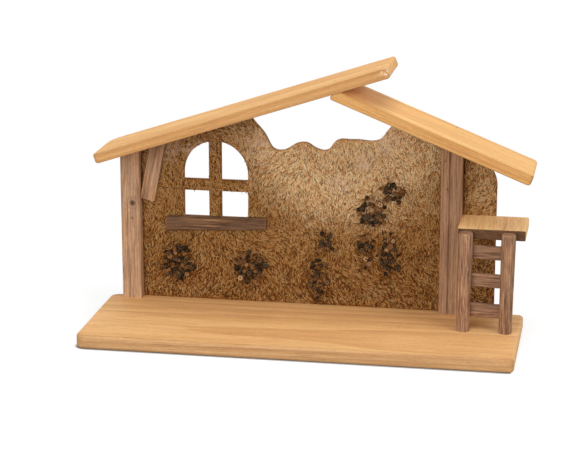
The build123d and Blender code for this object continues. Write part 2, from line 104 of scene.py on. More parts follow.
class Tree:
    """Short way to add and link the nodes of one shader tree."""

    def __init__(self, tree: bpy.types.NodeTree) -> None:
        """Holds the tree that nodes are added to."""
        self.tree = tree

    def feed(self, socket: Socket, value: object) -> None:
        """Links an output to a socket, or sets the socket to a plain value.

        Args:
            socket: the input that is fed.
            value: the output or the plain value.
        """
        if isinstance(value, Socket):
            self.tree.links.new(value, socket)
        else:
            socket.default_value = value

    def node(self, kind: str, sockets: dict[str | int, object] | None = None,
             **settings: object) -> bpy.types.Node:
        """Adds a node.

        Args:
            kind: the node's type, without ShaderNode.
            sockets: outputs or plain values for its inputs.
            settings: the node's own properties.

        Returns:
            The node.
        """
        made = self.tree.nodes.new("ShaderNode" + kind)
        for name, value in settings.items():
            setattr(made, name, value)
        for key, value in (sockets or {}).items():
            self.feed(made.inputs[key], value)
        return made

    def math(self, operation: str, first: object, second: object = 0.0, clamp: bool = False) -> Socket:
        """Output of a sum on one or two values."""
        return self.node("Math", {0: first, 1: second}, operation=operation, use_clamp=clamp).outputs[0]

    def vector(self, operation: str, first: object, second: object = (0.0, 0.0, 0.0)) -> Socket:
        """Output of a sum on one or two vectors."""
        return self.node("VectorMath", {0: first, 1: second}, operation=operation).outputs[0]

    def length(self, value: object) -> Socket:
        """How long a vector is."""
        return self.node("VectorMath", {0: value}, operation="LENGTH").outputs["Value"]

    def split(self, value: object) -> list[Socket]:
        """The three parts of a vector."""
        return list(self.node("SeparateXYZ", {0: value}).outputs)

    def noise(self, value: object, scale: object, detail: float = 2.0, roughness: float = 0.5) -> Socket:
        """Output of a noise pattern, around 0.5."""
        sockets = {"Vector": value, "Scale": scale, "Detail": detail, "Roughness": roughness}
        return self.node("TexNoise", sockets).outputs[0]

    def remap(self, value: object, low: float, high: float, start: float = 0.0, end: float = 1.0) -> Socket:
        """A value eased from one span to another."""
        sockets = {0: value, 1: low, 2: high, 3: start, 4: end}
        return self.node("MapRange", sockets, interpolation_type="SMOOTHSTEP").outputs[0]

    def mix(self, factor: object, first: object, second: object, blend: str = "MIX") -> Socket:
        """A colour between two colours."""
        made = self.node("Mix", {0: factor, 6: first, 7: second}, data_type="RGBA", blend_type=blend)
        return made.outputs[2]

    def ramp(self, value: object, stops: Sequence[tuple[float, Colour]]) -> Socket:
        """Colours spread along a value.

        Args:
            value: what the colours follow.
            stops: places from 0 to 1 with their colours.

        Returns:
            The colour output.
        """
        made = self.node("ValToRGB", {0: value})
        band = made.color_ramp.elements
        while len(band) < len(stops):
            band.new(1.0)
        for element, (place, colour) in zip(band, stops):
            element.position = place
            element.color = colour
        return made.outputs[0]

    def tone(self, colour: object, value: object) -> Socket:
        """A colour made lighter or darker by a value around 1."""
        return self.node("HueSaturation", {"Value": value, "Color": colour}).outputs[0]

    def effect(self, effect: "Effect", sockets: dict[str, object]) -> Sockets:
        """Places a shared effect and gives its outputs."""
        return self.node("Group", sockets, node_tree=effect.group()).outputs

    def raw(self) -> Socket:
        """Object coordinates as they are."""
        return self.node("TexCoord").outputs["Object"]

    def place(self, turn: Sequence[float], move: Sequence[float]) -> Socket:
        """Object coordinates, turned and then moved.

        Args:
            turn: angles about X, Y and Z in degrees.
            move: the move along X, Y and Z.

        Returns:
            The coordinates.
        """
        angles = [math.radians(angle) for angle in turn]
        sockets = {"Vector": self.raw(), "Location": list(move), "Rotation": angles}
        return self.node("Mapping", sockets).outputs[0]

    def attribute(self, name: str) -> Socket:
        """A value that the mesh holds for each face."""
        return self.node("Attribute", attribute_name=name).outputs["Fac"]

    def surface(self, shader: bpy.types.Node, colour: object, roughness: object,
                specular: float | None = None) -> None:
        """Feeds the colour and the sheen of a surface shader.

        Args:
            shader: the surface shader.
            colour: its base colour.
            roughness: its roughness.
            specular: how strongly it shines, where that is not the usual half.
        """
        self.feed(shader.inputs["Base Color"], colour)
        self.feed(shader.inputs["Roughness"], roughness)
        if specular is not None:
            shader.inputs["Specular IOR Level"].default_value = specular

    def bump(self, shader: bpy.types.Node, height: object, strength: float, distance: float,
             **normal: object) -> None:
        """Bumps a surface shader.

        Args:
            shader: the surface shader.
            height: what the bump follows.
            strength: of the bump, from 0 to 1.
            distance: how deep it is.
            normal: the directions that it starts from, as Normal, where they are not the mesh's own.
        """
        sockets = {"Height": height, "Strength": strength, "Distance": distance, **normal}
        self.feed(shader.inputs["Normal"], self.node("Bump", sockets).outputs[0])


class Effect(Enum):
    """Effects that several finishes share."""

    TIMBER = "timber figure"
    RUBBED = "rubbed edges"
    WEATHER = "weather"
    KNOT = "knot"
    SPOT_FALLOFF = "spot_falloff"

    def group(self) -> bpy.types.NodeTree:
        """The node group of the effect, built at its first use."""
        makers = {Effect.TIMBER: timber_figure, Effect.RUBBED: rubbed_edges, Effect.WEATHER: weather,
                  Effect.KNOT: knot, Effect.SPOT_FALLOFF: spot_falloff}
        return bpy.data.node_groups.get(self.value) or makers[self]()


def new_effect(effect: Effect, inputs: Iterable[str], vectors: Iterable[str],
               outputs: Iterable[str]) -> tuple[Tree, Sockets, Sockets]:
    """Starts a shared effect.

    Args:
        effect: which one.
        inputs: names of its plain inputs.
        vectors: names of its vector inputs.
        outputs: names of its outputs.

    Returns:
        The tree, its inputs by name and its outputs by name.
    """
    made = bpy.data.node_groups.new(effect.value, "ShaderNodeTree")
    for names, side, kind in ((vectors, "INPUT", "NodeSocketVector"), (inputs, "INPUT", "NodeSocketFloat"),
                              (outputs, "OUTPUT", "NodeSocketFloat")):
        for name in names:
            made.interface.new_socket(name, in_out=side, socket_type=kind)
    start, end = made.nodes.new("NodeGroupInput"), made.nodes.new("NodeGroupOutput")
    return Tree(made), start.outputs, end.inputs


def timber_figure() -> bpy.types.NodeTree:
    """Growth rings round the X axis, fine fibres and long streaks along it, short pores and broad patches.

    Returns:
        The node group.
    """
    tree, given, out = new_effect(Effect.TIMBER, ["Ring Scale", "Waver", "Fibre Scale"], ["Vector"],
                                  ["Rings", "Fibres", "Pores", "Patches", "Streaks"])
    drawn, fine, short, broad, longest = (tree.vector("MULTIPLY", given["Vector"], (squeeze, 1.0, 1.0))
                                          for squeeze in (0.12, 0.035, 0.22, 0.3, 0.02))
    rings = tree.node("TexWave", {"Vector": drawn, "Scale": given["Ring Scale"], "Distortion": given["Waver"],
                                  "Detail": 2.0, "Detail Scale": 0.35, "Detail Roughness": 0.5},
                      wave_type="RINGS", rings_direction="X", wave_profile="SAW")
    tree.feed(out["Streaks"], tree.noise(longest, 330.0, 3.0, 0.55))
    tree.feed(out["Rings"], rings.outputs["Fac"])
    tree.feed(out["Fibres"], tree.noise(fine, given["Fibre Scale"], 3.0, 0.6))
    tree.feed(out["Pores"], tree.noise(short, 1100.0, 2.0, 0.6))
    tree.feed(out["Patches"], tree.noise(broad, 26.0, 2.0))
    return tree.tree


def rubbed_edges() -> bpy.types.NodeTree:
    """Mask along the edges of a board, from its middle and half sizes, broken up by noise.

    Returns:
        The node group.
    """
    tree, given, out = new_effect(Effect.RUBBED, ["Width"], ["Vector", "Half"], ["Wear"])
    inside = tree.vector("SUBTRACT", given["Half"], tree.vector("ABSOLUTE", given["Vector"]))
    first, second, third = tree.split(inside)
    low, high = tree.math("MINIMUM", first, second), tree.math("MAXIMUM", first, second)
    edge = tree.math("MAXIMUM", low, tree.math("MINIMUM", high, third))
    ragged = tree.math("MULTIPLY", given["Width"], tree.noise(given["Vector"], 160.0, 3.0, 0.6))
    near = tree.math("SUBTRACT", 1.0, tree.math("DIVIDE", edge, ragged), clamp=True)
    tree.feed(out["Wear"], near)
    return tree.tree


def weather() -> bpy.types.NodeTree:
    """Long fine cracks, streaks and greyed patches of old wood, along the X axis.

    Returns:
        The node group.
    """
    tree, given, out = new_effect(Effect.WEATHER, ["Crack Scale", "Streak Scale", "Streak Length"],
                                  ["Vector"], ["Cracks", "Streaks", "Grey"])
    long = tree.vector("MULTIPLY", given["Vector"], (0.04, 1.0, 1.0))
    crossing = tree.math("ABSOLUTE", tree.math("SUBTRACT", tree.noise(long, given["Crack Scale"], 2.0), 0.5))
    tree.feed(out["Cracks"], tree.remap(crossing, 0.0, 0.035, 1.0, 0.0))
    along, across, deep = tree.split(given["Vector"])
    shortened = tree.math("DIVIDE", along, given["Streak Length"])
    streaks = tree.node("CombineXYZ", {0: shortened, 1: across, 2: deep}).outputs[0]
    tree.feed(out["Streaks"], tree.noise(streaks, given["Streak Scale"], 4.0, 0.65))
    patches = tree.vector("MULTIPLY", given["Vector"], (0.35, 1.0, 1.0))
    tree.feed(out["Grey"], tree.remap(tree.noise(patches, 90.0, 2.0), 0.35, 0.65))
    return tree.tree


def knot() -> bpy.types.NodeTree:
    """Dark heart and ring of one knot, from coordinates about its middle and its radius.

    Returns:
        The node group.
    """
    tree, given, out = new_effect(Effect.KNOT, ["Radius"], ["Vector"], ["Heart", "Ring"])
    ragged = tree.math("MULTIPLY_ADD", tree.noise(given["Vector"], 700.0), 0.5)
    ragged.node.inputs[2].default_value = 0.75
    reach = tree.math("DIVIDE", tree.length(given["Vector"]), tree.math("MULTIPLY", given["Radius"], ragged))
    from_ring = tree.math("ABSOLUTE", tree.math("SUBTRACT", reach, 1.35))
    tree.feed(out["Heart"], tree.remap(reach, 0.2, 1.05, 1.0, 0.0))
    tree.feed(out["Ring"], tree.remap(from_ring, 0.0, 0.5, 1.0, 0.0))
    return tree.tree


def spot_falloff() -> bpy.types.NodeTree:
    """How strongly a spot shows, from coordinates that are one long at its rim, fading beyond it; it serves
    bleached straw, dust, a chip and one spot of painted light.

    Returns:
        The node group.
    """
    tree, given, out = new_effect(Effect.SPOT_FALLOFF, ["Strength"], ["Vector"], ["Pale"])
    near = tree.remap(tree.length(given["Vector"]), 0.25, 1.5, 1.0, 0.0)
    tree.feed(out["Pale"], tree.math("MULTIPLY", near, given["Strength"]))
    return tree.tree


def new_material(name: str) -> tuple[bpy.types.Material, Tree, bpy.types.Node]:
    """Starts a material.

    Args:
        name: the material's name.

    Returns:
        The material, its tree and its surface shader.
    """
    made = bpy.data.materials.new(name)
    made.use_nodes = True
    tree = Tree(made.node_tree)
    return made, tree, made.node_tree.nodes["Principled BSDF"]


@dataclass(frozen=True)
class BarkEdge:
    """Dark barky front left on a board."""

    front: float
    reach: float = 0.9 * MM
    dark: Colour = tint(52, 31, 15)
    brown: Colour = tint(85, 54, 27)
    light: Colour = tint(114, 78, 44)


@dataclass(frozen=True)
class Crack:
    """A short crack in a board's top, seen from above."""

    place: tuple[float, float]
    turn: float
    length: float
    width: float = 0.35 * MM
    wander: float = 1.2 * MM
    colour: Colour = tint(120, 80, 50)


@dataclass(frozen=True)
class Chip:
    """A pale splintered patch at a board's end."""

    place: tuple[float, float, float]
    reach: tuple[float, float, float]
    colour: Colour = tint(255, 226, 184)


@dataclass(frozen=True)
class PineFinish:
    """Sanded honey pine, its grain along X before the turn.

    The front and back faces are multiplied by a darker colour, a painted shade that keeps them darker than
    the top, and crisp squares the shading there.
    """

    name: str
    pale: Colour = tint(247, 203, 142)
    honey: Colour = tint(240, 188, 122)
    late: Colour = tint(224, 166, 101)
    streak: Colour = tint(196, 130, 76)
    pitch: float = 0.0
    turn: tuple[float, float, float] = (0.0, 0.0, 0.0)
    pith: tuple[float, float, float] = (0.0, 0.02, 0.09)
    ring_period: float = 4.2 * MM
    waver: float = 4.0
    fibre_scale: float = 1000.0
    wear_width: float = 2.6 * MM
    wear: float = 0.2
    # painted shade: the colour that darkens the front and back faces
    front_back_shade: Colour = (0.7, 0.65, 0.65, 1.0)
    crisp: float = 0.0
    streaked: float = 0.35
    bark: BarkEdge | None = None
    crack: Crack | None = None
    chip: Chip | None = None

    def material(self, middle: Vector, half: Vector) -> bpy.types.Material:
        """Makes the material for one board.

        Args:
            middle: the board's middle, with its pitch turned flat.
            half: its half sizes there.

        Returns:
            The material.
        """
        made, tree, shader = new_material(self.name)
        wood = tree.place(self.turn, self.pith)
        figure = tree.effect(Effect.TIMBER, {"Vector": wood, "Ring Scale": RING_SPACING / self.ring_period,
                                             "Waver": self.waver, "Fibre Scale": self.fibre_scale})
        colour = tree.ramp(figure["Rings"], [(0.0, self.pale), (0.45, self.honey), (0.88, self.late),
                                             (0.95, self.late), (1.0, self.honey)])
        colour = tree.mix(0.3, colour, self.honey)
        colour = tree.mix(tree.remap(figure["Patches"], 0.45, 0.72, 0.0, 0.5), colour, self.late)
        colour = tree.mix(tree.remap(figure["Patches"], 0.5, 0.25, 0.0, 0.5), colour, self.pale)
        colour = tree.mix(tree.remap(figure["Fibres"], 0.53, 0.76, 0.0, 0.6), colour, self.streak)
        colour = tree.tone(colour, tree.remap(figure["Fibres"], 0.25, 0.65, 1.05, 0.96))
        colour = tree.mix(tree.remap(figure["Streaks"], 0.52, 0.68, 0.0, self.streaked), colour, self.streak)
        colour = tree.mix(tree.remap(figure["Streaks"], 0.46, 0.32, 0.0, 0.4), colour, self.pale)
        faced = tree.node("NewGeometry").outputs["Normal"]
        across = tree.split(faced)[1]
        # painted shade: faces that look to the front or back, found by their normal, are made darker than the
        # top
        front_back_shade = tree.remap(tree.math("ABSOLUTE", across), 0.05, 0.35)
        colour = tree.mix(front_back_shade, colour, self.front_back_shade, "MULTIPLY")
        colour = tree.tone(colour, tree.remap(figure["Pores"], 0.35, 0.65, 1.05, 0.93))
        about = tree.place((0.0, self.pitch, 0.0), [-part for part in middle])
        worn = tree.effect(Effect.RUBBED, {"Vector": about, "Half": list(half), "Width": self.wear_width})
        colour = tree.mix(tree.math("MULTIPLY", worn["Wear"], self.wear), colour, self.pale)
        if self.bark:
            colour = self.barked(tree, colour, self.bark)
        if self.crack:
            colour = self.cracked(tree, colour, self.crack)
        if self.chip:
            colour = self.chipped(tree, colour, self.chip)
        tree.surface(shader, colour, tree.remap(figure["Fibres"], 0.3, 0.7, 0.52, 0.68), 0.25)
        height = tree.math("SUBTRACT", tree.math("ADD", figure["Fibres"], figure["Pores"]), figure["Rings"])
        square = tree.node("CombineXYZ", {1: tree.math("SIGN", across)}).outputs[0]
        edged = tree.vector("NORMALIZE", tree.mix(tree.math("MULTIPLY", front_back_shade, self.crisp), faced, square))
        tree.bump(shader, height, 0.2, 0.35 * MM, Normal=edged)
        return made

    def barked(self, tree: Tree, colour: object, bark: BarkEdge) -> Socket:
        """The colour with bark over the board's front.

        Args:
            tree: the material's tree.
            colour: the wood's colour.
            bark: the barky front.

        Returns:
            The new colour.
        """
        raw = tree.raw()
        flakes = tree.noise(tree.vector("MULTIPLY", raw, (0.3, 1.0, 1.0)), 520.0, 4.0, 0.7)
        edge = tree.math("MULTIPLY", flakes, bark.reach)
        depth = tree.math("SUBTRACT", tree.split(raw)[1], bark.front)
        mask = tree.remap(tree.math("SUBTRACT", depth, edge), 0.0, 0.25 * bark.reach, 1.0, 0.0)
        coat = tree.ramp(flakes, [(0.3, bark.dark), (0.5, bark.brown), (0.74, bark.light)])
        return tree.mix(mask, colour, coat)

    def cracked(self, tree: Tree, colour: object, crack: Crack) -> Socket:
        """The colour with the short crack in the board's top.

        Args:
            tree: the material's tree.
            colour: the wood's colour.
            crack: the crack.

        Returns:
            The new colour.
        """
        raw = tree.raw()
        moved = tree.vector("SUBTRACT", raw, (*crack.place, 0.0))
        turned = tree.node("Mapping", {"Vector": moved, "Rotation": (0.0, 0.0, math.radians(crack.turn))})
        across, along, _ = tree.split(turned.outputs[0])
        wander = tree.math("MULTIPLY_ADD", tree.noise(raw, 500.0), crack.wander)
        tree.feed(wander.node.inputs[2], across)
        away = tree.math("ABSOLUTE", tree.math("SUBTRACT", wander, crack.wander / 2))
        line = tree.remap(away, 0.0, crack.width, 1.0, 0.0)
        end = tree.remap(tree.math("ABSOLUTE", along), 0.3 * crack.length, 0.5 * crack.length, 1.0, 0.0)
        return tree.mix(tree.math("MULTIPLY", line, end), colour, crack.colour)

    def chipped(self, tree: Tree, colour: object, chip: Chip) -> Socket:
        """The colour with the splintered patch.

        Args:
            tree: the material's tree.
            colour: the wood's colour.
            chip: the patch.

        Returns:
            The new colour.
        """
        raw = tree.raw()
        flat = tree.vector("DIVIDE", tree.vector("SUBTRACT", raw, chip.place), chip.reach)
        near = tree.effect(Effect.SPOT_FALLOFF, {"Vector": flat, "Strength": 1.0})["Pale"]
        splinters = tree.remap(tree.noise(raw, 420.0, 3.0, 0.6), 0.45, 0.58)
        return tree.mix(tree.math("MULTIPLY", near, splinters), colour, chip.colour)


@dataclass(frozen=True)
class Knot:
    """A knot in a weathered stick."""

    place: tuple[float, float, float]
    radius: float


@dataclass(frozen=True)
class WeatheredFinish:
    """Old grey-brown wood with streaks, cracks and knots, its grain along X before the turn."""

    name: str
    light: Colour = tint(199, 159, 124)
    mid: Colour = tint(176, 136, 103)
    dark: Colour = tint(134, 97, 73)
    grey: Colour = tint(178, 145, 118)
    rub: Colour = tint(197, 147, 101)
    crack: Colour = tint(59, 40, 27)
    turn: tuple[float, float, float] = (0.0, 90.0, 0.0)
    crack_scale: float = 260.0
    grey_share: float = 0.5
    crack_share: float = 0.35
    rub_share: float = 0.6
    rub_width: float = 4.0 * MM
    streak_scale: float = 620.0
    streak_length: float = 16.0
    ring_period: float = 2.6 * MM
    waver: float = 9.0
    fibre_scale: float = 1300.0
    knots: tuple[Knot, ...] = ()
    knot_ring: float = 0.35
    knot_heart: float = 0.9

    def material(self, middle: Vector, half: Vector) -> bpy.types.Material:
        """Makes the material for one stick.

        Args:
            middle: the stick's middle.
            half: its half sizes.

        Returns:
            The material.
        """
        made, tree, shader = new_material(self.name)
        wood = tree.place(self.turn, UNTURNED)
        marks = tree.effect(Effect.WEATHER, {"Vector": wood, "Crack Scale": self.crack_scale,
                                             "Streak Scale": self.streak_scale,
                                             "Streak Length": self.streak_length})
        figure = tree.effect(Effect.TIMBER, {"Vector": wood, "Ring Scale": RING_SPACING / self.ring_period,
                                             "Waver": self.waver, "Fibre Scale": self.fibre_scale})
        colour = tree.ramp(marks["Streaks"], [(0.3, self.dark), (0.47, self.mid), (0.66, self.light)])
        colour = tree.mix(tree.math("MULTIPLY", marks["Grey"], self.grey_share), colour, self.grey)
        colour = tree.tone(colour, tree.remap(figure["Rings"], 0.2, 1.0, 1.05, 0.92))
        colour = tree.tone(colour, tree.remap(figure["Fibres"], 0.3, 0.7, 0.9, 1.1))
        colour = tree.tone(colour, tree.remap(figure["Pores"], 0.35, 0.65, 1.07, 0.9))
        about = tree.place(UNTURNED, [-part for part in middle])
        worn = tree.effect(Effect.RUBBED, {"Vector": about, "Half": list(half), "Width": self.rub_width})
        colour = tree.mix(tree.math("MULTIPLY", worn["Wear"], self.rub_share), colour, self.rub)
        colour = tree.mix(tree.math("MULTIPLY", marks["Cracks"], self.crack_share), colour, self.crack)
        for spot in self.knots:
            about = tree.place(UNTURNED, [-part for part in spot.place])
            mark = tree.effect(Effect.KNOT, {"Vector": about, "Radius": spot.radius})
            colour = tree.mix(tree.math("MULTIPLY", mark["Ring"], self.knot_ring), colour, self.dark)
            colour = tree.mix(tree.math("MULTIPLY", mark["Heart"], self.knot_heart), colour, self.crack)
        tree.surface(shader, colour, tree.remap(marks["Streaks"], 0.3, 0.7, 0.72, 0.88), 0.25)
        height = tree.math("SUBTRACT", figure["Fibres"], tree.math("MULTIPLY", marks["Cracks"], 1.2))
        tree.bump(shader, height, 0.5, 0.5 * MM)
        return made


@dataclass(frozen=True)
class PaleSpot:
    """A paler spot of the straw wall, seen from the front: bleached straw, dust, and in one case painted
    light.
    """

    place: tuple[float, float]
    reach: tuple[float, float]
    strength: float


@dataclass(frozen=True)
class StrawFinish:
    """Chopped straw, from dark stems to bleached ones, by each straw's tone and its place on the wall; the
    tone holds painted shade at the wall's foot and about the seeds, and one place holds painted light.
    """

    name: str
    stops: tuple[tuple[float, Colour], ...] = (
        (0.0, tint(104, 69, 37)), (0.3, tint(202, 150, 93)),
        (0.6, tint(254, 206, 146)), (1.0, tint(255, 233, 188)))
    shade: Colour = tint(200, 174, 138)
    # The last spot, under the left roof, is painted light against the roof's shadow; the others are bleached
    # straw.
    spots: tuple[PaleSpot, ...] = (
        PaleSpot((0.028, 0.174), (0.087, 0.075), 1.38), PaleSpot((-0.152, 0.162), (0.026, 0.022), 0.2),
        PaleSpot((0.163, 0.142), (0.02, 0.03), 0.4), PaleSpot((-0.1, 0.178), (0.045, 0.013), 0.2))
    dusty: tuple[PaleSpot, ...] = (
        PaleSpot((0.0694, 0.1745), (0.012, 0.014), 0.6), PaleSpot((0.048, 0.1536), (0.008, 0.012), 0.6),
        PaleSpot((0.0216, 0.1322), (0.012, 0.008), 0.5), PaleSpot((-0.054, 0.164), (0.012, 0.016), 0.5),
        PaleSpot((-0.1178, 0.1625), (0.02, 0.008), 0.5), PaleSpot((-0.1443, 0.1537), (0.012, 0.01), 0.4))
    dust: Colour = tint(236, 208, 184)
    patch_scale: float = 60.0
    patches: float = 0.8
    bleach_and_light_gain: float = 0.12
    matted_tone: float = 0.14

    def spotted(self, tree: Tree, start: object, spots: Iterable[PaleSpot]) -> Socket:
        """A value that grows towards the middles of spots on the wall.

        Args:
            tree: the material's tree.
            start: the value away from the spots.
            spots: the spots.

        Returns:
            The grown value.
        """
        raw = tree.raw()
        for spot in spots:
            moved = tree.vector("SUBTRACT", raw, (spot.place[0], 0.0, spot.place[1]))
            flat = tree.vector("MULTIPLY", moved, (1 / spot.reach[0], 0.0, 1 / spot.reach[1]))
            near = tree.effect(Effect.SPOT_FALLOFF, {"Vector": flat, "Strength": spot.strength})["Pale"]
            start = tree.math("ADD", start, near)
        return start

    def coloured(self, tree: Tree, tone: object) -> Socket:
        """Colour of straw of a tone, bleached and dusty by its place on the wall, and lighter in one spot
        under the left roof as painted light.

        Args:
            tree: the material's tree.
            tone: how light the straw is, from 0 to 1.

        Returns:
            The colour.
        """
        raw = tree.raw()
        cloud = tree.math("SUBTRACT", tree.noise(raw, self.patch_scale, 3.0, 0.6), 0.5)
        # pale holds the bleached straw and the spot of painted light under the left roof
        pale = self.spotted(tree, tree.math("MULTIPLY", cloud, self.patches), self.spots)
        share = tree.remap(pale, -0.1, 0.95)
        gain = tree.math("MULTIPLY", tree.math("SUBTRACT", share, 0.5), self.bleach_and_light_gain)
        light = tree.math("ADD", tone, gain)
        # multiply colour: white where the straw is bleached and where light is painted, the shade colour
        # elsewhere
        bleach_and_painted_light = tree.mix(share, self.shade, WHITE)
        colour = tree.mix(1.0, tree.ramp(light, self.stops), bleach_and_painted_light, "MULTIPLY")
        flecks = tree.remap(tree.noise(raw, 260.0, 3.0, 0.6), 0.42, 0.6)
        return tree.mix(tree.math("MULTIPLY", self.spotted(tree, 0.0, self.dusty), flecks), colour, self.dust)

    def material(self) -> bpy.types.Material:
        """Makes the material of the loose straws.

        Returns:
            The material.
        """
        made, tree, shader = new_material(self.name)
        tone, raw = tree.attribute("tone"), tree.raw()
        uneven = tree.remap(tree.noise(raw, 900.0, 2.0), 0.3, 0.7, 0.88, 1.12)
        colour = tree.tone(self.coloured(tree, tone), uneven)
        tree.surface(shader, colour, tree.remap(tone, 0.0, 1.0, 0.75, 0.5), 0.1)
        tree.bump(shader, tree.noise(raw, 2200.0, 2.0, 0.6), 0.3, 0.1 * MM)
        return made

    def mat_material(self) -> bpy.types.Material:
        """Makes the material of the matted straw and glue under the loose straws.

        Returns:
            The material.
        """
        made, tree, shader = new_material(self.name + " mat")
        lean = {"Vector": tree.raw(), "Rotation": (0.0, 0.6, 0.0), "Scale": (1.0, 1.0, 0.2)}
        strands = tree.noise(tree.node("Mapping", lean).outputs[0], 1400.0, 3.0, 0.6)
        tone = tree.remap(strands, 0.3, 0.7, self.matted_tone - 0.2, self.matted_tone + 0.25)
        tree.surface(shader, self.coloured(tree, tone), tree.remap(strands, 0.3, 0.7, 0.9, 0.7), 0.05)
        tree.bump(shader, strands, 0.5, 0.5 * MM)
        return made


@dataclass(frozen=True)
class SeedFinish:
    """Dried seed heads, nearly black, with a paler worn crown."""

    name: str
    skin: Colour = tint(19, 13, 8)
    brown: Colour = tint(130, 84, 44)
    bloom: Colour = tint(102, 71, 38)
    crown: Colour = tint(176, 144, 108)

    def material(self) -> bpy.types.Material:
        """Makes the material.

        Returns:
            The material.
        """
        made, tree, shader = new_material(self.name)
        crown, tone = tree.attribute("crown"), tree.attribute("tone")
        wrinkle = tree.noise(tree.raw(), 1200.0, 3.0, 0.6)
        colour = tree.mix(tree.remap(tone, 0.4, 0.95), self.skin, self.brown)
        colour = tree.mix(tree.remap(wrinkle, 0.46, 0.72, 0.0, 0.6), colour, self.bloom)
        worn = tree.remap(tone, 0.82, 0.92, 0.16, 1.0)
        colour = tree.mix(tree.math("MULTIPLY", crown, worn), colour, self.crown)
        tree.surface(shader, colour, tree.remap(wrinkle, 0.35, 0.7, 0.55, 0.85), 0.12)
        tree.bump(shader, wrinkle, 0.5, 0.4 * MM)
        return made


@dataclass(frozen=True)
class BoardFinish:
    """Raw pressed board of the back wall."""

    name: str
    face: Colour = tint(166, 130, 94)
    fleck: Colour = tint(194, 162, 124)
    dark: Colour = tint(132, 98, 66)

    def material(self) -> bpy.types.Material:
        """Makes the material.

        Returns:
            The material.
        """
        made, tree, shader = new_material(self.name)
        raw = tree.raw()
        chips = tree.noise(raw, 420.0, 4.0, 0.7)
        cloud = tree.noise(raw, 30.0, 2.0)
        colour = tree.ramp(chips, [(0.3, self.dark), (0.5, self.face), (0.72, self.fleck)])
        colour = tree.tone(colour, tree.remap(cloud, 0.3, 0.7, 0.92, 1.08))
        tree.surface(shader, colour, tree.remap(chips, 0.3, 0.7, 0.7, 0.85))
        tree.bump(shader, chips, 0.35, 0.25 * MM)
        return made


@dataclass(frozen=True)
class SteelFinish:
    """Dull steel of small nails and screws, spotted with age."""

    name: str
    steel: Colour = tint(150, 146, 140)
    spot: Colour = tint(84, 66, 52)

    def material(self) -> bpy.types.Material:
        """Makes the material.

        Returns:
            The material.
        """
        made, tree, shader = new_material(self.name)
        spots = tree.remap(tree.noise(tree.raw(), 900.0, 3.0, 0.6), 0.48, 0.66)
        tree.surface(shader, tree.mix(spots, self.steel, self.spot), tree.remap(spots, 0.0, 1.0, 0.35, 0.75))
        tree.feed(shader.inputs["Metallic"], tree.remap(spots, 0.0, 1.0, 1.0, 0.3))
        tree.bump(shader, spots, 0.3, 0.1 * MM)
        return made


def finish_piece(name: str, mesh: bpy.types.Mesh, material: bpy.types.Material,
                 stands_for: Sequence[str] = ()) -> bpy.types.Object:
    """Puts a new mesh into the scene as a piece of the stable.

    Args:
        name: the piece's name.
        mesh: its mesh, already in place.
        material: its material.
        stands_for: solids that it replaces.

    Returns:
        The piece.
    """
    mesh.materials.append(material)
    mesh.shade_smooth()
    piece = bpy.data.objects.new(name, mesh)
    bpy.context.scene.collection.objects.link(piece)
    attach(piece, BODY)
    if stands_for:
        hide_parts(*stands_for)
    log.info("piece %s: %d faces", name, len(mesh.polygons))
    return piece


def dress(node: bpy.types.Object, material: bpy.types.Material) -> None:
    """Gives a solid's object its material.

    Args:
        node: the solid's object.
        material: the material.
    """
    node.data.materials.clear()
    node.data.materials.append(material)
    log.info("dressed %s with %s", node.name, material.name)


def section_point(share: float, width: float, depth: float, radius: float) -> tuple[Vector, Vector]:
    """Walks round a rectangle with rounded corners, from the middle of its far side.

    Args:
        share: how far round, from 0 to 1.
        width, depth: the rectangle's sizes.
        radius: of its corners.

    Returns:
        The point and the outward direction there, in the plane of the section.
    """
    flat, deep, arc = width - 2 * radius, depth - 2 * radius, math.pi * radius / 2
    gone = share * (2 * flat + 2 * deep + 4 * arc)
    runs = [flat / 2, arc, deep, arc, flat, arc, deep, arc, flat / 2]
    corners = [(-1, 1), (-1, -1), (1, -1), (1, 1)]
    sides = [(0, 1), (-1, 0), (0, -1), (1, 0), (0, 1)]
    for step, run in enumerate(runs):
        if gone <= run or step == len(runs) - 1:
            break
        gone -= run
    if step % 2:
        sx, sy = corners[step // 2]
        before = Vector(sides[step // 2])
        turn = gone / radius
        along = Matrix.Rotation(turn, 2) @ before
        return Vector((sx * flat / 2, sy * deep / 2)) + along * radius, along
    out = Vector(sides[step // 2])
    ahead = Matrix.Rotation(math.pi / 2, 2) @ out
    length = deep if step in (2, 6) else flat
    base = Vector((out.x * width / 2, out.y * depth / 2))
    start = 0.0 if step == 0 else -length / 2
    return base + ahead * (start + gone), out


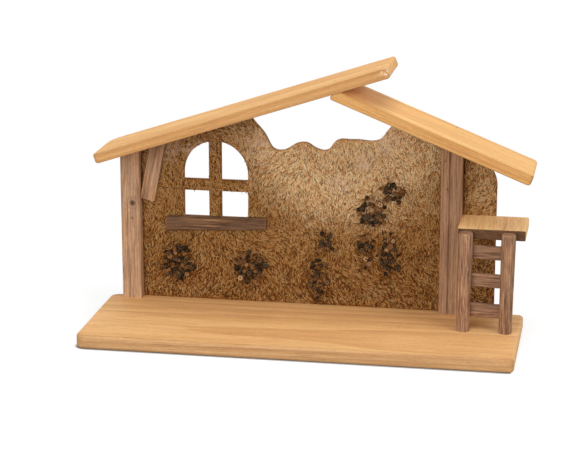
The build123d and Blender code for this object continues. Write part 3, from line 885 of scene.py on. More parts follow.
@dataclass
class WeatheredStick(ABC):
    """A stick of old wood with furrows along its grain, which stands for one solid."""

    node: str
    finish: WeatheredFinish
    slot: str
    around: int = 96
    along: int = 60
    furrow_depth: float = 0.25 * MM
    furrow_pitch: float = 2.4 * MM
    furrow_width: float = 0.16
    fine_finer: float = 2.3
    fine_width: float = 0.2
    fine_shift: tuple[float, float, float] = (7.0, 3.0, 1.0)
    furrow_share: float = 0.7
    fine_share: float = 0.3
    sway: float = 0.35 * MM
    sway_coarser: float = 0.22
    proud: float = 0.25 * MM
    grain: Vector = field(default_factory=lambda: Vector((0.0, 0.0, 1.0)))
    stretch: float = 14.0
    seam_at: float = 0.99999
    seam_gap: float = 0.002 * MM
    sharpest: float = 50.0

    @abstractmethod
    def surface(self, share: float, run: float) -> tuple[Vector, Vector]:
        """Point and outward direction of the plain stick.

        Args:
            share: how far round, from 0 to 1.
            run: how far along, from 0 to 1.

        Returns:
            The point and the direction.
        """

    def relief(self, point: Vector) -> float:
        """How far the weathered surface lies inside the plain one.

        Args:
            point: a point of the plain stick.

        Returns:
            The depth there.
        """
        along = point.dot(self.grain)
        drawn = (point - self.grain * along * (1 - 1 / self.stretch)) / self.furrow_pitch
        furrow = max(0.0, 1 - abs(noise.noise(drawn)) / self.furrow_width)
        finer = drawn * self.fine_finer + Vector(self.fine_shift)
        fine = max(0.0, 1 - abs(noise.noise(finer)) / self.fine_width)
        broad = 0.5 + 0.5 * noise.noise(drawn * self.sway_coarser)
        return self.furrow_depth * (self.furrow_share * furrow + self.fine_share * fine) + self.sway * broad

    def build(self) -> bpy.types.Object:
        """Rolls a grid into the stick, weathers it, closes its ends and dresses it.

        Returns:
            The piece.
        """
        work = bmesh.new()
        bmesh.ops.create_grid(work, x_segments=self.around, y_segments=self.along, size=0.5)
        for vert in work.verts:
            share, run = vert.co.x + 0.5, vert.co.y + 0.5
            point, out = self.surface(share % 1.0 if share < self.seam_at else 0.0, run)
            vert.co = point - out * (self.relief(point) - self.proud)
        bmesh.ops.remove_doubles(work, verts=work.verts, dist=self.seam_gap)
        rims = [edge for edge in work.edges if edge.is_boundary]
        caps = bmesh.ops.holes_fill(work, edges=rims, sides=0)["faces"]
        bmesh.ops.poke(work, faces=caps)
        bmesh.ops.recalc_face_normals(work, faces=work.faces)
        mesh = bpy.data.meshes.new(self.node + "_weathered")
        work.to_mesh(mesh)
        work.free()
        low, high = solid_box(self.node)
        material = self.finish.material((low + high) / 2, (high - low) / 2)
        piece = finish_piece(self.node + "_weathered", mesh, material, [self.node])
        mesh.set_sharp_from_angle(angle=math.radians(self.sharpest))
        return piece


@dataclass
class Upright(WeatheredStick):
    """A post with a flat foot, its top cut to the roof's slope."""

    slope: float = 0.0
    corner: float = 1.6 * MM
    check_offset: float = 0.0
    check_width: float = 1.1 * MM
    check_depth: float = 0.0
    check_wander: float = 0.5 * MM
    check_wave: float = 30 * MM

    def surface(self, share: float, run: float) -> tuple[Vector, Vector]:
        """Point and outward direction of the plain post.

        Args:
            share: how far round, from 0 to 1.
            run: how far along, from 0 to 1.

        Returns:
            The point and the direction.
        """
        low, high = solid_box(self.node)
        width, depth = high.x - low.x, high.y - low.y
        flat, out = section_point(share, width, depth, self.corner)
        x, y = (low.x + high.x) / 2 + flat.x, (low.y + high.y) / 2 + flat.y
        peak = high.x if self.slope > 0 else low.x
        top = high.z + self.slope * (x - peak)
        return Vector((x, y, low.z + run * (top - low.z))), Vector((out.x, out.y, 0.0))

    def relief(self, point: Vector) -> float:
        """Furrows, and the long split in the face where the post has one.

        Args:
            point: a point of the plain post.

        Returns:
            The depth there.
        """
        depth = super().relief(point)
        low, _ = solid_box(self.node)
        if self.check_depth and point.y < low.y + self.corner / 4:
            wander = self.check_wander * noise.noise(Vector((0.0, 0.0, point.z / self.check_wave)))
            away = abs(point.x - (low.x + self.check_offset + wander))
            depth += self.check_depth * max(0.0, 1 - away / self.check_width)
        return depth


@dataclass
class RoundStick(WeatheredStick):
    """A round fence stick that leans a little and thickens upwards, with a rounded tip."""

    foot_radius: float = 5.9 * MM
    top_radius: float = 6.6 * MM
    tip_round: float = 0.7 * MM
    tip_share: float = 0.015

    def surface(self, share: float, run: float) -> tuple[Vector, Vector]:
        """Point and outward direction of the plain stick.

        Args:
            share: how far round, from 0 to 1.
            run: how far along, from 0 to 1.

        Returns:
            The point and the direction.
        """
        low, high = solid_box(self.node)
        foot = Vector((low.x + self.foot_radius, (low.y + high.y) / 2, low.z))
        top = Vector((high.x - self.top_radius, (low.y + high.y) / 2, high.z))
        angle = 2 * math.pi * share + math.pi / 2
        out = Vector((math.cos(angle), math.sin(angle), 0.0))
        radius = self.foot_radius + (self.top_radius - self.foot_radius) * run
        radius -= self.tip_round * max(0.0, (run - 1 + self.tip_share) / self.tip_share) ** 2
        return foot.lerp(top, run) + out * radius, out


@dataclass
class CrossStick(WeatheredStick):
    """A split stick that lies along X, with its own height at each end."""

    left_low: float = 0.0
    left_height: float = 0.0
    right_low: float = 0.0
    right_height: float = 0.0
    corner: float = 1.4 * MM
    bow: float = 0.4 * MM
    ragged: float = 0.9 * MM
    ragged_scale: float = 400.0
    grain: Vector = field(default_factory=lambda: Vector((1.0, 0.0, 0.0)))

    def surface(self, share: float, run: float) -> tuple[Vector, Vector]:
        """Point and outward direction of the plain stick.

        Args:
            share: how far round, from 0 to 1.
            run: how far along, from 0 to 1.

        Returns:
            The point and the direction.
        """
        low, high = solid_box(self.node)
        bottom = self.left_low + (self.right_low - self.left_low) * run
        height = self.left_height + (self.right_height - self.left_height) * run
        flat, out = section_point(share, high.y - low.y, height, self.corner)
        bow = self.bow * math.sin(2 * math.pi * run)
        torn = noise.noise(Vector((flat.x, flat.y, round(run))) * self.ragged_scale)
        ragged = self.ragged * (0.5 + 0.5 * torn)
        x = low.x + ragged + run * (high.x - low.x - 2 * ragged)
        point = Vector((x, (low.y + high.y) / 2 + flat.x, bottom + height / 2 + flat.y + bow))
        return point, Vector((0.0, out.x, out.y))


@dataclass
class KneeBrace(WeatheredStick):
    """The short leaning stick between the left post and the roof."""

    width: float = 14.5 * MM
    lean: float = 11.5
    seat: float = 5.0 * MM
    foot_rake: float = 3.0 * MM
    ragged: float = 1.6 * MM
    ragged_scale: float = 330.0
    corner: float = 1.4 * MM

    def surface(self, share: float, run: float) -> tuple[Vector, Vector]:
        """Point and outward direction of the plain stick.

        Args:
            share: how far round, from 0 to 1.
            run: how far along, from 0 to 1.

        Returns:
            The point and the direction.
        """
        low, high = solid_box(self.node)
        lean, slope = math.tan(math.radians(self.lean)), math.tan(math.radians(LEFT_PITCH))
        across = self.width / math.cos(math.radians(self.lean))
        flat, out = section_point(share, across, high.y - low.y, self.corner)
        start = low.z + self.foot_rake
        place = flat.x / across + 0.5
        torn = self.ragged * noise.noise(Vector((flat.x, flat.y, 0.0)) * self.ragged_scale)
        foot = max(start - self.foot_rake * place + torn, low.z)
        top_x = low.x + place * across + lean * (high.z - start - self.seat)
        top = high.z - slope * (high.x - top_x)
        z = foot + run * (top - foot)
        x = low.x + place * across + lean * (z - start - self.seat)
        return Vector((max(x, low.x), (low.y + high.y) / 2 + flat.y, z)), Vector((out.x, out.y, 0.0))


@cache
def solid_box(node: str) -> tuple[Vector, Vector]:
    """Lowest and highest corner of a solid, read once."""
    low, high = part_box(node)
    return Vector(low), Vector(high)


class Scatter:
    """Copies a small shape many times into one mesh."""

    def __init__(self, shape: bmesh.types.BMesh) -> None:
        """Takes the small shape and gives its faces a tone.

        Args:
            shape: the small shape.
        """
        self.shape = shape
        shape.faces.layers.float.new("tone")
        self.points = np.array([vert.co for vert in shape.verts])
        self.counts = len(shape.verts), len(shape.edges), len(shape.faces)

    def copies(self, count: int) -> bmesh.types.BMesh:
        """The shape, doubled on the spot until there are as many as asked.

        Args:
            count: how many copies.

        Returns:
            All the copies as one shape.
        """
        work = self.shape.copy()
        made = 1
        while made < count:
            more = min(made, count - made)
            kinds = (work.verts, work.edges, work.faces)
            for kind in kinds:
                kind.ensure_lookup_table()
            geometry = [item for kind, each in zip(kinds, self.counts) for item in kind[:more * each]]
            bmesh.ops.duplicate(work, geom=geometry)
            made += more
        return work

    def add_to(self, mesh: bpy.types.Mesh, frames: np.ndarray, tones: np.ndarray) -> None:
        """Adds placed copies of the shape to a mesh.

        Args:
            mesh: the mesh that grows.
            frames: one 4 by 4 matrix for each copy.
            tones: one tone for each copy.
        """
        if not len(frames):
            return
        work = self.copies(len(frames))
        placed = np.einsum("nij,vj->nvi", frames[:, :3, :3], self.points) + frames[:, None, :3, 3]
        for vert, place in zip(work.verts, placed.reshape(-1, 3)):
            vert.co = place
        tone = work.faces.layers.float["tone"]
        for face, value in zip(work.faces, np.repeat(tones, self.counts[2])):
            face[tone] = value
        work.from_mesh(mesh)
        work.to_mesh(mesh)
        work.free()


def straw_shape(bend: float) -> bmesh.types.BMesh:
    """A straw of unit length along Z, three sided, pointed at both ends and bent.

    Args:
        bend: how far its middle stands out.

    Returns:
        The shape.
    """
    work = bmesh.new()
    bmesh.ops.create_cone(work, cap_ends=False, segments=3, radius1=0.5, radius2=0.5, depth=0.5)
    for side in (-1, 1):
        rim = [edge for edge in work.edges if all(vert.co.z * side > 0.2 for vert in edge.verts)]
        grown = bmesh.ops.extrude_edge_only(work, edges=rim)["geom"]
        ends = [item for item in grown if isinstance(item, bmesh.types.BMVert)]
        bmesh.ops.pointmerge(work, verts=ends, merge_co=(0.0, 0.0, 0.5 * side))
    for vert in work.verts:
        vert.co.x += bend * (0.25 - vert.co.z ** 2)
    bmesh.ops.recalc_face_normals(work, faces=work.faces)
    return work


def spun_shape(profile: Sequence[tuple[float, float]], sides: int, lobes: float,
               crown: tuple[float, float]) -> bmesh.types.BMesh:
    """A small round shape spun from its outline.

    Args:
        profile: radius and height of each point, from the foot to the middle of the top.
        sides: how many sides it has.
        lobes: how far every other side stands out.
        crown: least and greatest middle radius of the faces of its top that make its crown.

    Returns:
        The shape.
    """
    work = bmesh.new()
    line = [work.verts.new((radius, 0.0, height)) for radius, height in profile]
    edges = [work.edges.new(pair) for pair in zip(line, line[1:])]
    bmesh.ops.spin(work, geom=[*line, *edges], axis=(0, 0, 1), cent=(0, 0, 0), steps=sides,
                   angle=2 * math.pi, use_merge=True)
    bmesh.ops.remove_doubles(work, verts=work.verts, dist=1e-5)
    bmesh.ops.recalc_face_normals(work, faces=work.faces)
    for vert in work.verts:
        flat = vert.co.xy
        if flat.length > crown[1]:
            turn = math.atan2(flat.y, flat.x)
            vert.co.xy = flat * (1 + lobes * math.cos(turn * sides / 2))
    mark = work.faces.layers.float.new("crown")
    crown_height = 0.6
    for face in work.faces:
        middle = face.calc_center_median()
        crowned = middle.z > crown_height and crown[0] < middle.xy.length < crown[1]
        face[mark] = 1.0 if crowned else 0.0
    return work


def frames_along(places: np.ndarray, lengths: np.ndarray, widths: np.ndarray, heights: np.ndarray,
                 ways: np.ndarray, rolls: np.ndarray) -> np.ndarray:
    """Matrices that lay a shape's Z axis along given directions.

    Args:
        places: middles of the copies.
        lengths, widths, heights: sizes of the copies along their own Z, X and Y axes.
        ways: directions of their Z axes.
        rolls: turns about those axes.

    Returns:
        One 4 by 4 matrix for each copy.
    """
    ways = ways / np.linalg.norm(ways, axis=1, keepdims=True)
    helper = np.where(np.abs(ways[:, 1:2]) < 0.9, [[0.0, 1.0, 0.0]], [[1.0, 0.0, 0.0]])
    side = np.cross(helper, ways)
    side /= np.linalg.norm(side, axis=1, keepdims=True)
    third = np.cross(ways, side)
    turn, lift = np.cos(rolls)[:, None], np.sin(rolls)[:, None]
    frames = np.zeros((len(places), 4, 4))
    frames[:, :3, 0] = (side * turn + third * lift) * widths[:, None]
    frames[:, :3, 1] = (third * turn - side * lift) * heights[:, None]
    frames[:, :3, 2] = ways * lengths[:, None]
    frames[:, :3, 3] = places
    frames[:, 3, 3] = 1.0
    return frames


def front_triangles(node: bpy.types.Object) -> np.ndarray:
    """Finds the triangles of a solid that face the front.

    Args:
        node: the solid's object.

    Returns:
        Their corners.
    """
    mesh = node.data
    mesh.calc_loop_triangles()
    points = np.array([vert.co for vert in mesh.vertices])
    corners = points[np.array([face.vertices for face in mesh.loop_triangles])]
    normals = np.cross(corners[:, 1] - corners[:, 0], corners[:, 2] - corners[:, 0])
    square_on = 0.9 * np.linalg.norm(normals, axis=1)
    return corners[-normals[:, 1] > square_on]


def rim_edges(corners: np.ndarray) -> np.ndarray:
    """Finds the edges that only one of the triangles has.

    Args:
        corners: corners of the triangles.

    Returns:
        Both ends of each edge.
    """
    keys = np.round(corners / SAME_POINT).astype(int)
    seen: dict[tuple, list] = {}
    for face, key in zip(corners, keys):
        for first, second in ((0, 1), (1, 2), (2, 0)):
            name = tuple(sorted((tuple(key[first]), tuple(key[second]))))
            seen.setdefault(name, []).append((face[first], face[second]))
    return np.array([found[0] for found in seen.values() if len(found) == 1])


@dataclass(frozen=True)
class Zone:
    """A part of the wall, seen from the front."""

    left: float
    right: float
    bottom: float
    top: float

    def holds(self, places: np.ndarray) -> np.ndarray:
        """Whether each place lies in the zone."""
        x, z = places[:, 0], places[:, 2]
        return (x > self.left) & (x < self.right) & (z > self.bottom) & (z < self.top)


@dataclass
class StrawCoat:
    """The chopped straw glued over the front of the wall.

    The straws lie about an angle in degrees, and their spreads are in radians.
    A tone of 0 is dark and 1 is pale.
    """

    nodes: tuple[str, ...] = ("straw_coat_main", "straw_coat_right")
    per_square_mm: float = 0.78
    quick_share: float = 0.3
    rim_per_mm: float = 1.0
    ragged_rims: tuple[Zone, ...] = (Zone(-128 * MM, -62 * MM, 93 * MM, 170 * MM),
                                     Zone(-67 * MM, 85 * MM, 160 * MM, math.inf))
    bundles: int = 5
    draw_start: int = 11
    shortest: float = 2.6 * MM
    longest: float = 6.5 * MM
    thinnest: float = 0.36 * MM
    thickest: float = 0.64 * MM
    flatness: float = 0.4
    lift: float = 0.8 * MM
    lift_span: tuple[float, float] = (-0.2, 1.0)
    lie: float = 95.0
    lie_spread: float = 0.55
    tilt: float = 0.02
    tilt_spread: float = 0.06
    tilt_span: tuple[float, float] = (-0.1, 0.3)
    roll_spread: float = 0.35
    strays: float = 0.04
    held_share: float = 0.8
    held_depth: float = 5 * MM
    bends: tuple[float, ...] = (0.06, -0.1)
    flow_size: float = 42.0 * MM
    flow_turn: float = 1.8
    mean_tone: float = 1.04
    tone_spread: float = 1.0
    top_tone: float = 1.0
    foot_height: float = 0.1
    # painted shade: how far the tone drops at the wall's foot
    painted_foot_shade: float = 0.85
    seed_shadow: float = 6.0 * MM
    seed_reach: float = 1.4
    # painted shade: how far the tone drops about the seeds
    painted_seed_shade: float = 0.55
    seeds: kdtree.KDTree = field(default_factory=lambda: kdtree.KDTree(0))
    coats: list[bvhtree.BVHTree] = field(default_factory=list)
    finish: StrawFinish = StrawFinish("chopped straw")

    def spread(self, draw: np.random.Generator, corners: np.ndarray) -> np.ndarray:
        """Spreads places evenly over triangles.

        Args:
            draw: source of the spread.
            corners: corners of the triangles.

        Returns:
            The places.
        """
        first, second = corners[:, 1] - corners[:, 0], corners[:, 2] - corners[:, 0]
        areas = np.linalg.norm(np.cross(first, second), axis=1) / 2
        share = 1.0
        count = int(share * self.per_square_mm * areas.sum() / MM ** 2)
        which = draw.choice(len(areas), count, p=areas / areas.sum())
        one, two = draw.random(count), draw.random(count)
        over = one + two > 1
        one[over], two[over] = 1 - one[over], 1 - two[over]
        return corners[which, 0] + one[:, None] * first[which] + two[:, None] * second[which]

    def along_rims(self, draw: np.random.Generator, edges: np.ndarray) -> np.ndarray:
        """Spreads places along the coat's ragged rims: the window and the wavy top.

        Args:
            draw: source of the spread.
            edges: ends of all its rim edges.

        Returns:
            The places.
        """
        kept = edges[np.any([zone.holds(edges.mean(1)) for zone in self.ragged_rims], axis=0)]
        if not len(kept):
            return kept.reshape(0, 3)
        lengths = np.linalg.norm(kept[:, 1] - kept[:, 0], axis=1)
        count = int(self.rim_per_mm * lengths.sum() / MM)
        which = draw.choice(len(lengths), count, p=lengths / lengths.sum())
        return kept[which, 0] + draw.random(count)[:, None] * (kept[which, 1] - kept[which, 0])

    def build(self, frame: dict) -> None:
        """Scatters the straws over the coats and dresses the coats.

        Args:
            frame: the loaded frame.
        """
        draw = np.random.default_rng(self.draw_start)
        mat = self.finish.mat_material()
        heads = [vert.co for name, node in frame["nodes"].items() if name.startswith("seeds_")
                 for vert in node.data.vertices]
        self.seeds = kdtree.KDTree(len(heads))
        for number, place in enumerate(heads):
            self.seeds.insert(place, number)
        self.seeds.balance()
        self.coats = [bvhtree.BVHTree.FromPolygons([vert.co for vert in mesh.vertices],
                                                   [face.vertices for face in mesh.polygons])
                      for mesh in (frame["nodes"][name].data for name in self.nodes)]
        places = []
        for name in self.nodes:
            node = frame["nodes"][name]
            dress(node, mat)
            corners = front_triangles(node)
            places += [self.spread(draw, corners), self.along_rims(draw, rim_edges(corners))]
        spots = np.concatenate(places)
        spots = spots[np.argsort(spots[:, 0], kind="stable")]
        material = self.finish.material()
        shapes = [Scatter(straw_shape(bend)) for bend in self.bends]
        for number, part in enumerate(np.array_split(spots, self.bundles), 1):
            self.bundle(draw, f"straw_bundle_{number}", part, shapes, material)

    def bundle(self, draw: np.random.Generator, name: str, spots: np.ndarray, shapes: Sequence[Scatter],
               material: bpy.types.Material) -> None:
        """Lays one bundle of straws.

        Args:
            draw: source of the spread.
            name: the piece's name.
            spots: where the straws lie on the coat.
            shapes: the straws to choose from.
            material: their material.
        """
        count = len(spots)
        flow = np.array([noise.noise(Vector(spot) / self.flow_size) for spot in spots])
        angle = math.radians(self.lie) + flow * self.flow_turn + draw.normal(0, self.lie_spread, count)
        tilt = np.clip(draw.normal(self.tilt, self.tilt_spread, count), *self.tilt_span)
        ways = np.stack([np.cos(angle) * np.cos(tilt), -np.sin(tilt), np.sin(angle) * np.cos(tilt)], 1)
        lengths = draw.uniform(self.shortest, self.longest, count)
        widths = draw.uniform(self.thinnest, self.thickest, count)
        lifted = spots - [[0.0, 1.0, 0.0]] * (draw.uniform(*self.lift_span, count) * self.lift)[:, None]
        rolls = draw.normal(math.pi, self.roll_spread, count)
        frames = frames_along(lifted, lengths, widths, widths * self.flatness, ways, rolls)
        kept = self.over_coat(lifted, ways * lengths[:, None] / 2) | (draw.random(count) < self.strays)
        # the tones carry painted shade at the wall's foot and about the seeds
        tones = np.clip(self.shade(spots) + draw.normal(0, self.tone_spread, count), 0, self.top_tone)
        kinds = draw.integers(0, len(shapes), count)
        mesh = bpy.data.meshes.new(name)
        for kind, shape in enumerate(shapes):
            chosen = kept & (kinds == kind)
            shape.add_to(mesh, frames[chosen], tones[chosen])
        finish_piece(name, mesh, material)

    def held(self, place: np.ndarray) -> bool:
        """Whether there is coat behind a place."""
        back = Vector((0.0, 1.0, 0.0))
        return any(coat.ray_cast(Vector(place), back, self.held_depth)[0] is not None for coat in self.coats)

    def over_coat(self, middles: np.ndarray, reaches: np.ndarray) -> np.ndarray:
        """Whether both ends of each straw lie over the coat.

        Args:
            middles: middles of the straws.
            reaches: from the middles to one end.

        Returns:
            One truth value for each straw.
        """
        return np.array([all(self.held(middle + side * self.held_share * reach) for side in (-1, 1))
                         for middle, reach in zip(middles, reaches)])

    def shade(self, spots: np.ndarray) -> np.ndarray:
        """Mean tone of the straw before it bleached, darkened by painted shade at the wall's foot and about
        the seeds.

        Args:
            spots: places on the coat.

        Returns:
            One tone for each place.
        """
        # painted shade about the seeds and at the wall's foot
        near = np.array([self.seeds.find(spot)[2] for spot in spots]) / self.seed_shadow
        down = np.clip(1 - spots[:, 2] / self.foot_height, 0, 1)
        beside = np.clip(self.seed_reach - near, 0, 1)
        return self.mean_tone - self.painted_foot_shade * down - self.painted_seed_shade * beside


@dataclass(frozen=True)
class SeedKind:
    """A kind of dried seed, spun from its outline, one for each solid of its patch."""

    outline: tuple[tuple[float, float], ...]
    sides: int
    size: float
    stray: float
    out: float
    lobes: float = 0.0
    crown: tuple[float, float] = (0.0, 0.0)


@dataclass
class SeedPatch:
    """One patch of dried seed heads, each set where its solid is."""

    node: str
    head: SeedKind = SeedKind(
        ((0.0, 0.0), (0.55, 0.1), (1.0, 0.55), (0.94, 0.95), (0.74, 1.15), (0.36, 1.05), (0.0, 0.6)),
        sides=10, size=2.8 * MM, stray=1.1 * MM, out=0.4 * MM, lobes=0.16, crown=(0.4, 0.7))
    berry: SeedKind = SeedKind(((0.0, 0.0), (0.7, 0.2), (1.0, 0.8), (0.75, 1.4), (0.0, 1.65)),
                               sides=6, size=1.9 * MM, stray=2.2 * MM, out=1.2 * MM)
    lean: float = 0.5
    size_span: tuple[float, float] = (0.65, 1.2)
    height_span: tuple[float, float] = (0.85, 1.25)
    widest_roll: float = 6.28

    def middles(self, node: bpy.types.Object) -> np.ndarray:
        """Finds the middles of the separate solids in a node.

        Args:
            node: the node's object.

        Returns:
            One middle for each solid.
        """
        work = bmesh.new()
        work.from_mesh(node.data)
        bmesh.ops.remove_doubles(work, verts=work.verts, dist=SAME_POINT)
        found, seen = [], set()
        for start in work.verts:
            if start in seen:
                continue
            group, todo = [], [start]
            seen.add(start)
            while todo:
                vert = todo.pop()
                group.append(vert.co.copy())
                beside = [edge.other_vert(vert) for edge in vert.link_edges]
                fresh = [other for other in beside if other not in seen]
                seen.update(fresh)
                todo += fresh
            found.append(sum(group, Vector()) / len(group))
        work.free()
        return np.array(found)

    def build(self, frame: dict, material: bpy.types.Material, seed: int) -> None:
        """Sets the heads and the small berries between them.

        Args:
            frame: the loaded frame.
            material: the seeds' material.
            seed: start of the spread.
        """
        draw = np.random.default_rng(seed)
        middles = self.middles(frame["nodes"][self.node])
        middles[:, 1] = solid_box(self.node)[1].y
        made = bpy.data.meshes.new(self.node + "_dried")
        for kind in (self.head, self.berry):
            spots = middles.copy()
            count = len(spots)
            spots[:, [0, 2]] += draw.normal(0, kind.stray, (count, 2))
            spots[:, 1] -= draw.uniform(0, 1, count) * kind.out
            ways = draw.normal(0, self.lean, (count, 3))
            ways[:, 1] = -1.0
            sizes = kind.size * draw.uniform(*self.size_span, count)
            heights = sizes * draw.uniform(*self.height_span, count)
            rolls = draw.uniform(0, self.widest_roll, count)
            frames = frames_along(spots, heights, sizes, sizes, ways, rolls)
            shape = Scatter(spun_shape(kind.outline, kind.sides, kind.lobes, kind.crown))
            shape.add_to(made, frames, draw.random(count))
        finish_piece(self.node + "_dried", made, material, [self.node])


def pine_cuts() -> dict[str, PineFinish]:
    """Chooses a cut of pine for each board.

    Returns:
        The cuts by the boards' names.
    """
    chip = Chip((79.0 * MM, 1.0 * MM, 252.0 * MM), (9.0 * MM, 12.0 * MM, 4.5 * MM))
    # The darker colours for each board's front and back faces, given here or by default, are painted shade.
    base = PineFinish(
        "base pine", pale=tint(240, 193, 133), honey=tint(230, 179, 117), late=tint(212, 157, 103),
        streak=tint(184, 124, 76), pith=(0.0, 0.03, 0.16), turn=(0.0, 0.6, 0.7), ring_period=6.0 * MM,
        front_back_shade=(0.66, 0.63, 0.64, 1.0), wear=0.1, streaked=0.2)
    left = PineFinish(
        "left roof pine", pale=tint(246, 198, 131), honey=tint(239, 184, 114), late=tint(223, 162, 93),
        pitch=LEFT_PITCH, pith=(0.1, -0.05, -0.03), turn=(0.0, LEFT_PITCH, 0.8), ring_period=5.0 * MM,
        crisp=0.9, wear=0.06, chip=chip)
    right = PineFinish(
        "right roof pine", pale=tint(248, 203, 137), honey=tint(241, 188, 117), late=tint(226, 166, 97),
        pitch=-RIGHT_PITCH, pith=(0.0, -0.04, -0.12), turn=(0.0, -RIGHT_PITCH + 0.7, -1.2),
        ring_period=4.4 * MM, front_back_shade=(0.73, 0.65, 0.56, 1.0), crisp=0.9, wear=0.06)
    # The ledge's tints are paler than the other boards': painted light that makes up for the shade under the
    # roof's overhang.
    ledge = PineFinish(
        "ledge pine painted light", pale=tint(255, 220, 160), honey=tint(255, 212, 148), late=tint(246, 192, 128),
        turn=(0.0, 0.0, 88.0), pith=(0.0, 0.19, -0.085), ring_period=8.0 * MM, waver=7.0,
        bark=BarkEdge(15.0 * MM), crack=Crack((183.2 * MM, 31.6 * MM), 2.3, 36.0 * MM))
    return {"base_board": base, "roof_board_left": left, "roof_board_right": right, "ledge_board": ledge}


@dataclass
class PineBoards:
    """The base, the two roof boards and the ledge, which keep their solids."""

    cuts: dict[str, PineFinish] = field(default_factory=pine_cuts)

    def build(self, frame: dict) -> None:
        """Dresses each board with its own cut of pine.

        Args:
            frame: the loaded frame.
        """
        for name, cut in self.cuts.items():
            node = frame["nodes"][name]
            flat = Matrix.Rotation(math.radians(cut.pitch), 3, "Y")
            points = np.array([flat @ vert.co for vert in node.data.vertices])
            low, high = points.min(0), points.max(0)
            dress(node, cut.material(Vector((low + high) / 2), Vector((high - low) / 2)))


@dataclass(frozen=True)
class Lamp:
    """A soft round lamp; a fill lamp lights faces but leaves no shine of its own on them."""

    name: str
    place: tuple[float, float, float]
    size: float
    power: float
    shines: bool = True


@dataclass
class Studio:
    """Camera, soft lights and a plain white floor."""

    camera_place: tuple[float, float, float] = (0.2930, -1.7063, 0.5750)
    look_down: float = 15.21
    look_left: float = 10.08
    focal_pixels: float = 1959.0
    frame_width: int = 583
    sensor: float = 36.0
    ambient: float = 0.35
    floor_size: float = 12.0
    floor_drop: float = 0.05 * MM
    floor_grey: float = 0.4
    floor_glow: float = 0.66
    floor_near: float = 0.35
    floor_far: float = 0.8
    contact_reach: float = 5.0 * MM
    contact_span: tuple[float, float] = (0.5, 0.9)
    lit_from: float = 194.5 * MM
    lit_fade: float = 5.0 * MM
    target: tuple[float, float, float] = (0.0, 0.03, 0.1)
    lamps: tuple[Lamp, ...] = (
        Lamp("front", (-0.5, -2.5, 0.68), 1.6, 44.0), Lamp("top", (0.2, -0.4, 2.4), 1.6, 26.2),
        Lamp("side", (2.0, -1.2, 1.3), 1.4, 22.0), Lamp("back", (-0.3, 2.6, 0.35), 1.4, 17.0, shines=False))

    def build(self) -> None:
        """Sets up the camera, the lamps, the world and the floor."""
        scene = bpy.context.scene
        scene.view_settings.view_transform = "Standard"
        self.camera(scene)
        self.lights(scene)
        self.world(scene)
        self.floor(scene)

    def camera(self, scene: bpy.types.Scene) -> None:
        """Places the camera where the photograph was taken from.

        Args:
            scene: the scene.
        """
        lens = bpy.data.cameras.new("view")
        lens.sensor_width = self.sensor
        lens.lens = self.sensor * self.focal_pixels / self.frame_width
        view = bpy.data.objects.new("view", lens)
        view.location = self.camera_place
        view.rotation_euler = (math.radians(90 - self.look_down), 0.0, math.radians(self.look_left))
        scene.collection.objects.link(view)
        scene.camera = view

    def lights(self, scene: bpy.types.Scene) -> None:
        """Hangs the soft lamps.

        Args:
            scene: the scene.
        """
        for hung in self.lamps:
            lamp = bpy.data.lights.new(hung.name, "AREA")
            lamp.shape, lamp.size, lamp.energy = "DISK", hung.size, hung.power
            aim = Vector(self.target) - Vector(hung.place)
            held = bpy.data.objects.new(hung.name, lamp)
            held.location = hung.place
            held.rotation_euler = aim.to_track_quat("-Z", "Y").to_euler()
            held.visible_glossy = hung.shines
            scene.collection.objects.link(held)

    def straight_rays(self, tree: Tree) -> Socket:
        """One for rays of the camera, mirrors and glass, and nought for light that bounces.

        Args:
            tree: the tree that asks.

        Returns:
            The value.
        """
        path = tree.node("LightPath").outputs
        seen = tree.math("MAXIMUM", path["Is Camera Ray"], path["Is Glossy Ray"])
        return tree.math("MAXIMUM", seen, path["Is Transmission Ray"])

    def world(self, scene: bpy.types.Scene) -> None:
        """Makes an even pale world that looks white.

        Args:
            scene: the scene.
        """
        world = bpy.data.worlds.new("studio")
        world.use_nodes = True
        tree = Tree(world.node_tree)
        back = world.node_tree.nodes["Background"]
        back.inputs["Color"].default_value = WHITE
        spare = tree.math("MULTIPLY", self.straight_rays(tree), 1 - self.ambient)
        tree.feed(back.inputs["Strength"], tree.math("ADD", spare, self.ambient))
        scene.world = world

    def floor(self, scene: bpy.types.Scene) -> None:
        """Lays the floor just under the base.

        Args:
            scene: the scene.
        """
        work = bmesh.new()
        bmesh.ops.create_grid(work, x_segments=1, y_segments=1, size=self.floor_size / 2)
        bmesh.ops.translate(work, verts=work.verts, vec=(0.0, 0.0, -self.floor_drop))
        mesh = bpy.data.meshes.new("floor")
        work.to_mesh(mesh)
        work.free()
        mesh.materials.append(self.floor_material())
        floor = bpy.data.objects.new("floor", mesh)
        scene.collection.objects.link(floor)

    def floor_material(self) -> bpy.types.Material:
        """Makes the floor white, with a soft contact shadow about the base, but none at its lit right end.

        Returns:
            The material.
        """
        made, tree, shader = new_material("white floor")
        made.node_tree.nodes.remove(shader)
        raw = tree.raw()
        away = tree.length(raw)
        matt = tree.remap(away, self.floor_near, self.floor_far, self.floor_grey, 0.0)
        white = tree.remap(away, self.floor_near, self.floor_far, self.floor_glow, 1.0)
        open_sky = tree.node("AmbientOcclusion", {"Distance": self.contact_reach}).outputs["AO"]
        lit_side = tree.remap(tree.split(raw)[0], self.lit_from, self.lit_from + self.lit_fade)
        clear = tree.remap(tree.math("MAXIMUM", open_sky, lit_side), *self.contact_span)
        strength = tree.math("MULTIPLY", self.straight_rays(tree), tree.math("MULTIPLY", white, clear))
        ground = tree.node("BsdfDiffuse", {"Color": matt}).outputs[0]
        glow = tree.node("Emission", {"Color": WHITE, "Strength": strength}).outputs[0]
        both = tree.node("AddShader", {0: ground, 1: glow}).outputs[0]
        tree.feed(made.node_tree.nodes["Material Output"].inputs["Surface"], both)
        return made


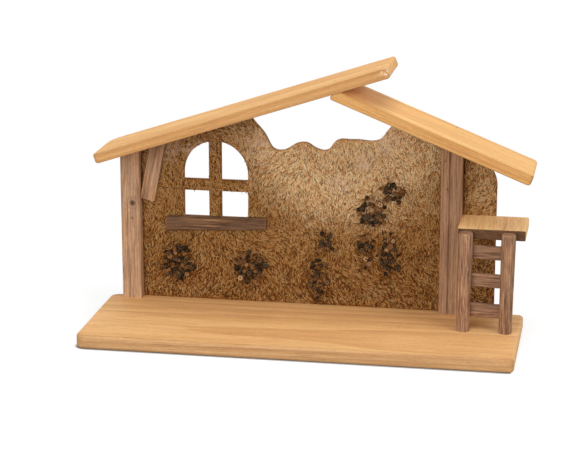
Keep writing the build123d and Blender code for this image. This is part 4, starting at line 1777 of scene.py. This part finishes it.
def old_wood() -> list[WeatheredStick]:
    """Chooses a finish and the sizes of each stick of old wood.

    Returns:
        The sticks.
    """
    post = WeatheredFinish("left post wood", knots=(Knot((-0.1746, 0.0545, 0.1078), 4.2 * MM),
                                                    Knot((-0.1754, 0.0545, 0.0929), 1.2 * MM)))
    dark = WeatheredFinish("right post wood", light=tint(176, 136, 102), mid=tint(153, 115, 84),
                           dark=tint(101, 72, 50), grey=tint(157, 122, 96), rub=tint(169, 126, 90),
                           grey_share=0.45, crack_share=0.2,
                           knots=(Knot((0.1244, 0.0545, 0.161), 0.9 * MM),
                                  Knot((0.1266, 0.0545, 0.1344), 1.0 * MM)))
    sill = WeatheredFinish("sill wood", light=tint(143, 106, 74), mid=tint(96, 67, 44), dark=tint(52, 33, 22),
                           grey=tint(107, 79, 60), rub=tint(120, 87, 60), turn=UNTURNED)
    stick = WeatheredFinish("fence stick wood", light=tint(197, 153, 116), mid=tint(138, 99, 73),
                            dark=tint(67, 44, 31), grey=tint(151, 117, 92), grey_share=0.25, crack_share=0.5,
                            rub_share=0.2, streak_scale=1050.0, streak_length=20.0)
    slat = WeatheredFinish("rail wood", light=tint(170, 128, 97), mid=tint(139, 101, 76),
                           dark=tint(94, 65, 48), grey=tint(143, 111, 90), rub=tint(168, 124, 92),
                           turn=UNTURNED)
    brace = WeatheredFinish("brace wood", light=tint(191, 147, 110), mid=tint(160, 120, 88),
                            dark=tint(103, 73, 50), turn=(0.0, 78.5, 0.0), crack_share=0.45)
    rails = [CrossStick(f"fence_rail_{name}", slat, "weathered_wood", along=36, left_low=low * MM,
                        left_height=12.7 * MM, right_low=low * MM, right_height=12.7 * MM)
             for name, low in (("bottom", 24.3), ("middle", 53.0), ("top", 79.6))]
    slope_left, slope_right = (math.tan(math.radians(angle)) for angle in (LEFT_PITCH, -RIGHT_PITCH))
    return [
        Upright("left_post", post, "weathered_wood", around=150, along=70, slope=slope_left),
        Upright("right_post", dark, "dark_wood", around=220, along=70, slope=slope_right,
                furrow_depth=0.2 * MM, check_offset=8.6 * MM, check_depth=1.5 * MM),
        KneeBrace("left_brace", brace, "weathered_wood", along=40),
        CrossStick("window_sill", sill, "dark_wood", left_low=79.5 * MM, left_height=14.8 * MM,
                   right_low=85.6 * MM, right_height=11.4 * MM, corner=1.2 * MM),
        RoundStick("fence_post_left", stick, "weathered_wood"),
        RoundStick("fence_post_right", stick, "weathered_wood"),
        *rails,
    ]


def main() -> None:
    """Builds the studio and every part of the stable in order."""
    logging.basicConfig(level=logging.INFO, format="%(name)s: %(message)s")
    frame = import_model()
    Studio().build()
    PineBoards().build(frame)
    dress(frame["nodes"]["back_board"], BoardFinish("wall board").material())
    steel = SteelFinish("dull steel").material()
    for name in ("wall_tacks", "roof_nails", "post_screws", "fence_pins"):
        dress(frame["nodes"][name], steel)
    for stick in old_wood():
        stick.build()
    seeds = SeedFinish("dried seed heads").material()
    patches = sorted(name for name in frame["nodes"] if name.startswith("seeds_"))
    for number, name in enumerate(patches):
        SeedPatch(name).build(frame, seeds, number)
    StrawCoat().build(frame)


if __name__ == "__main__":
    main()
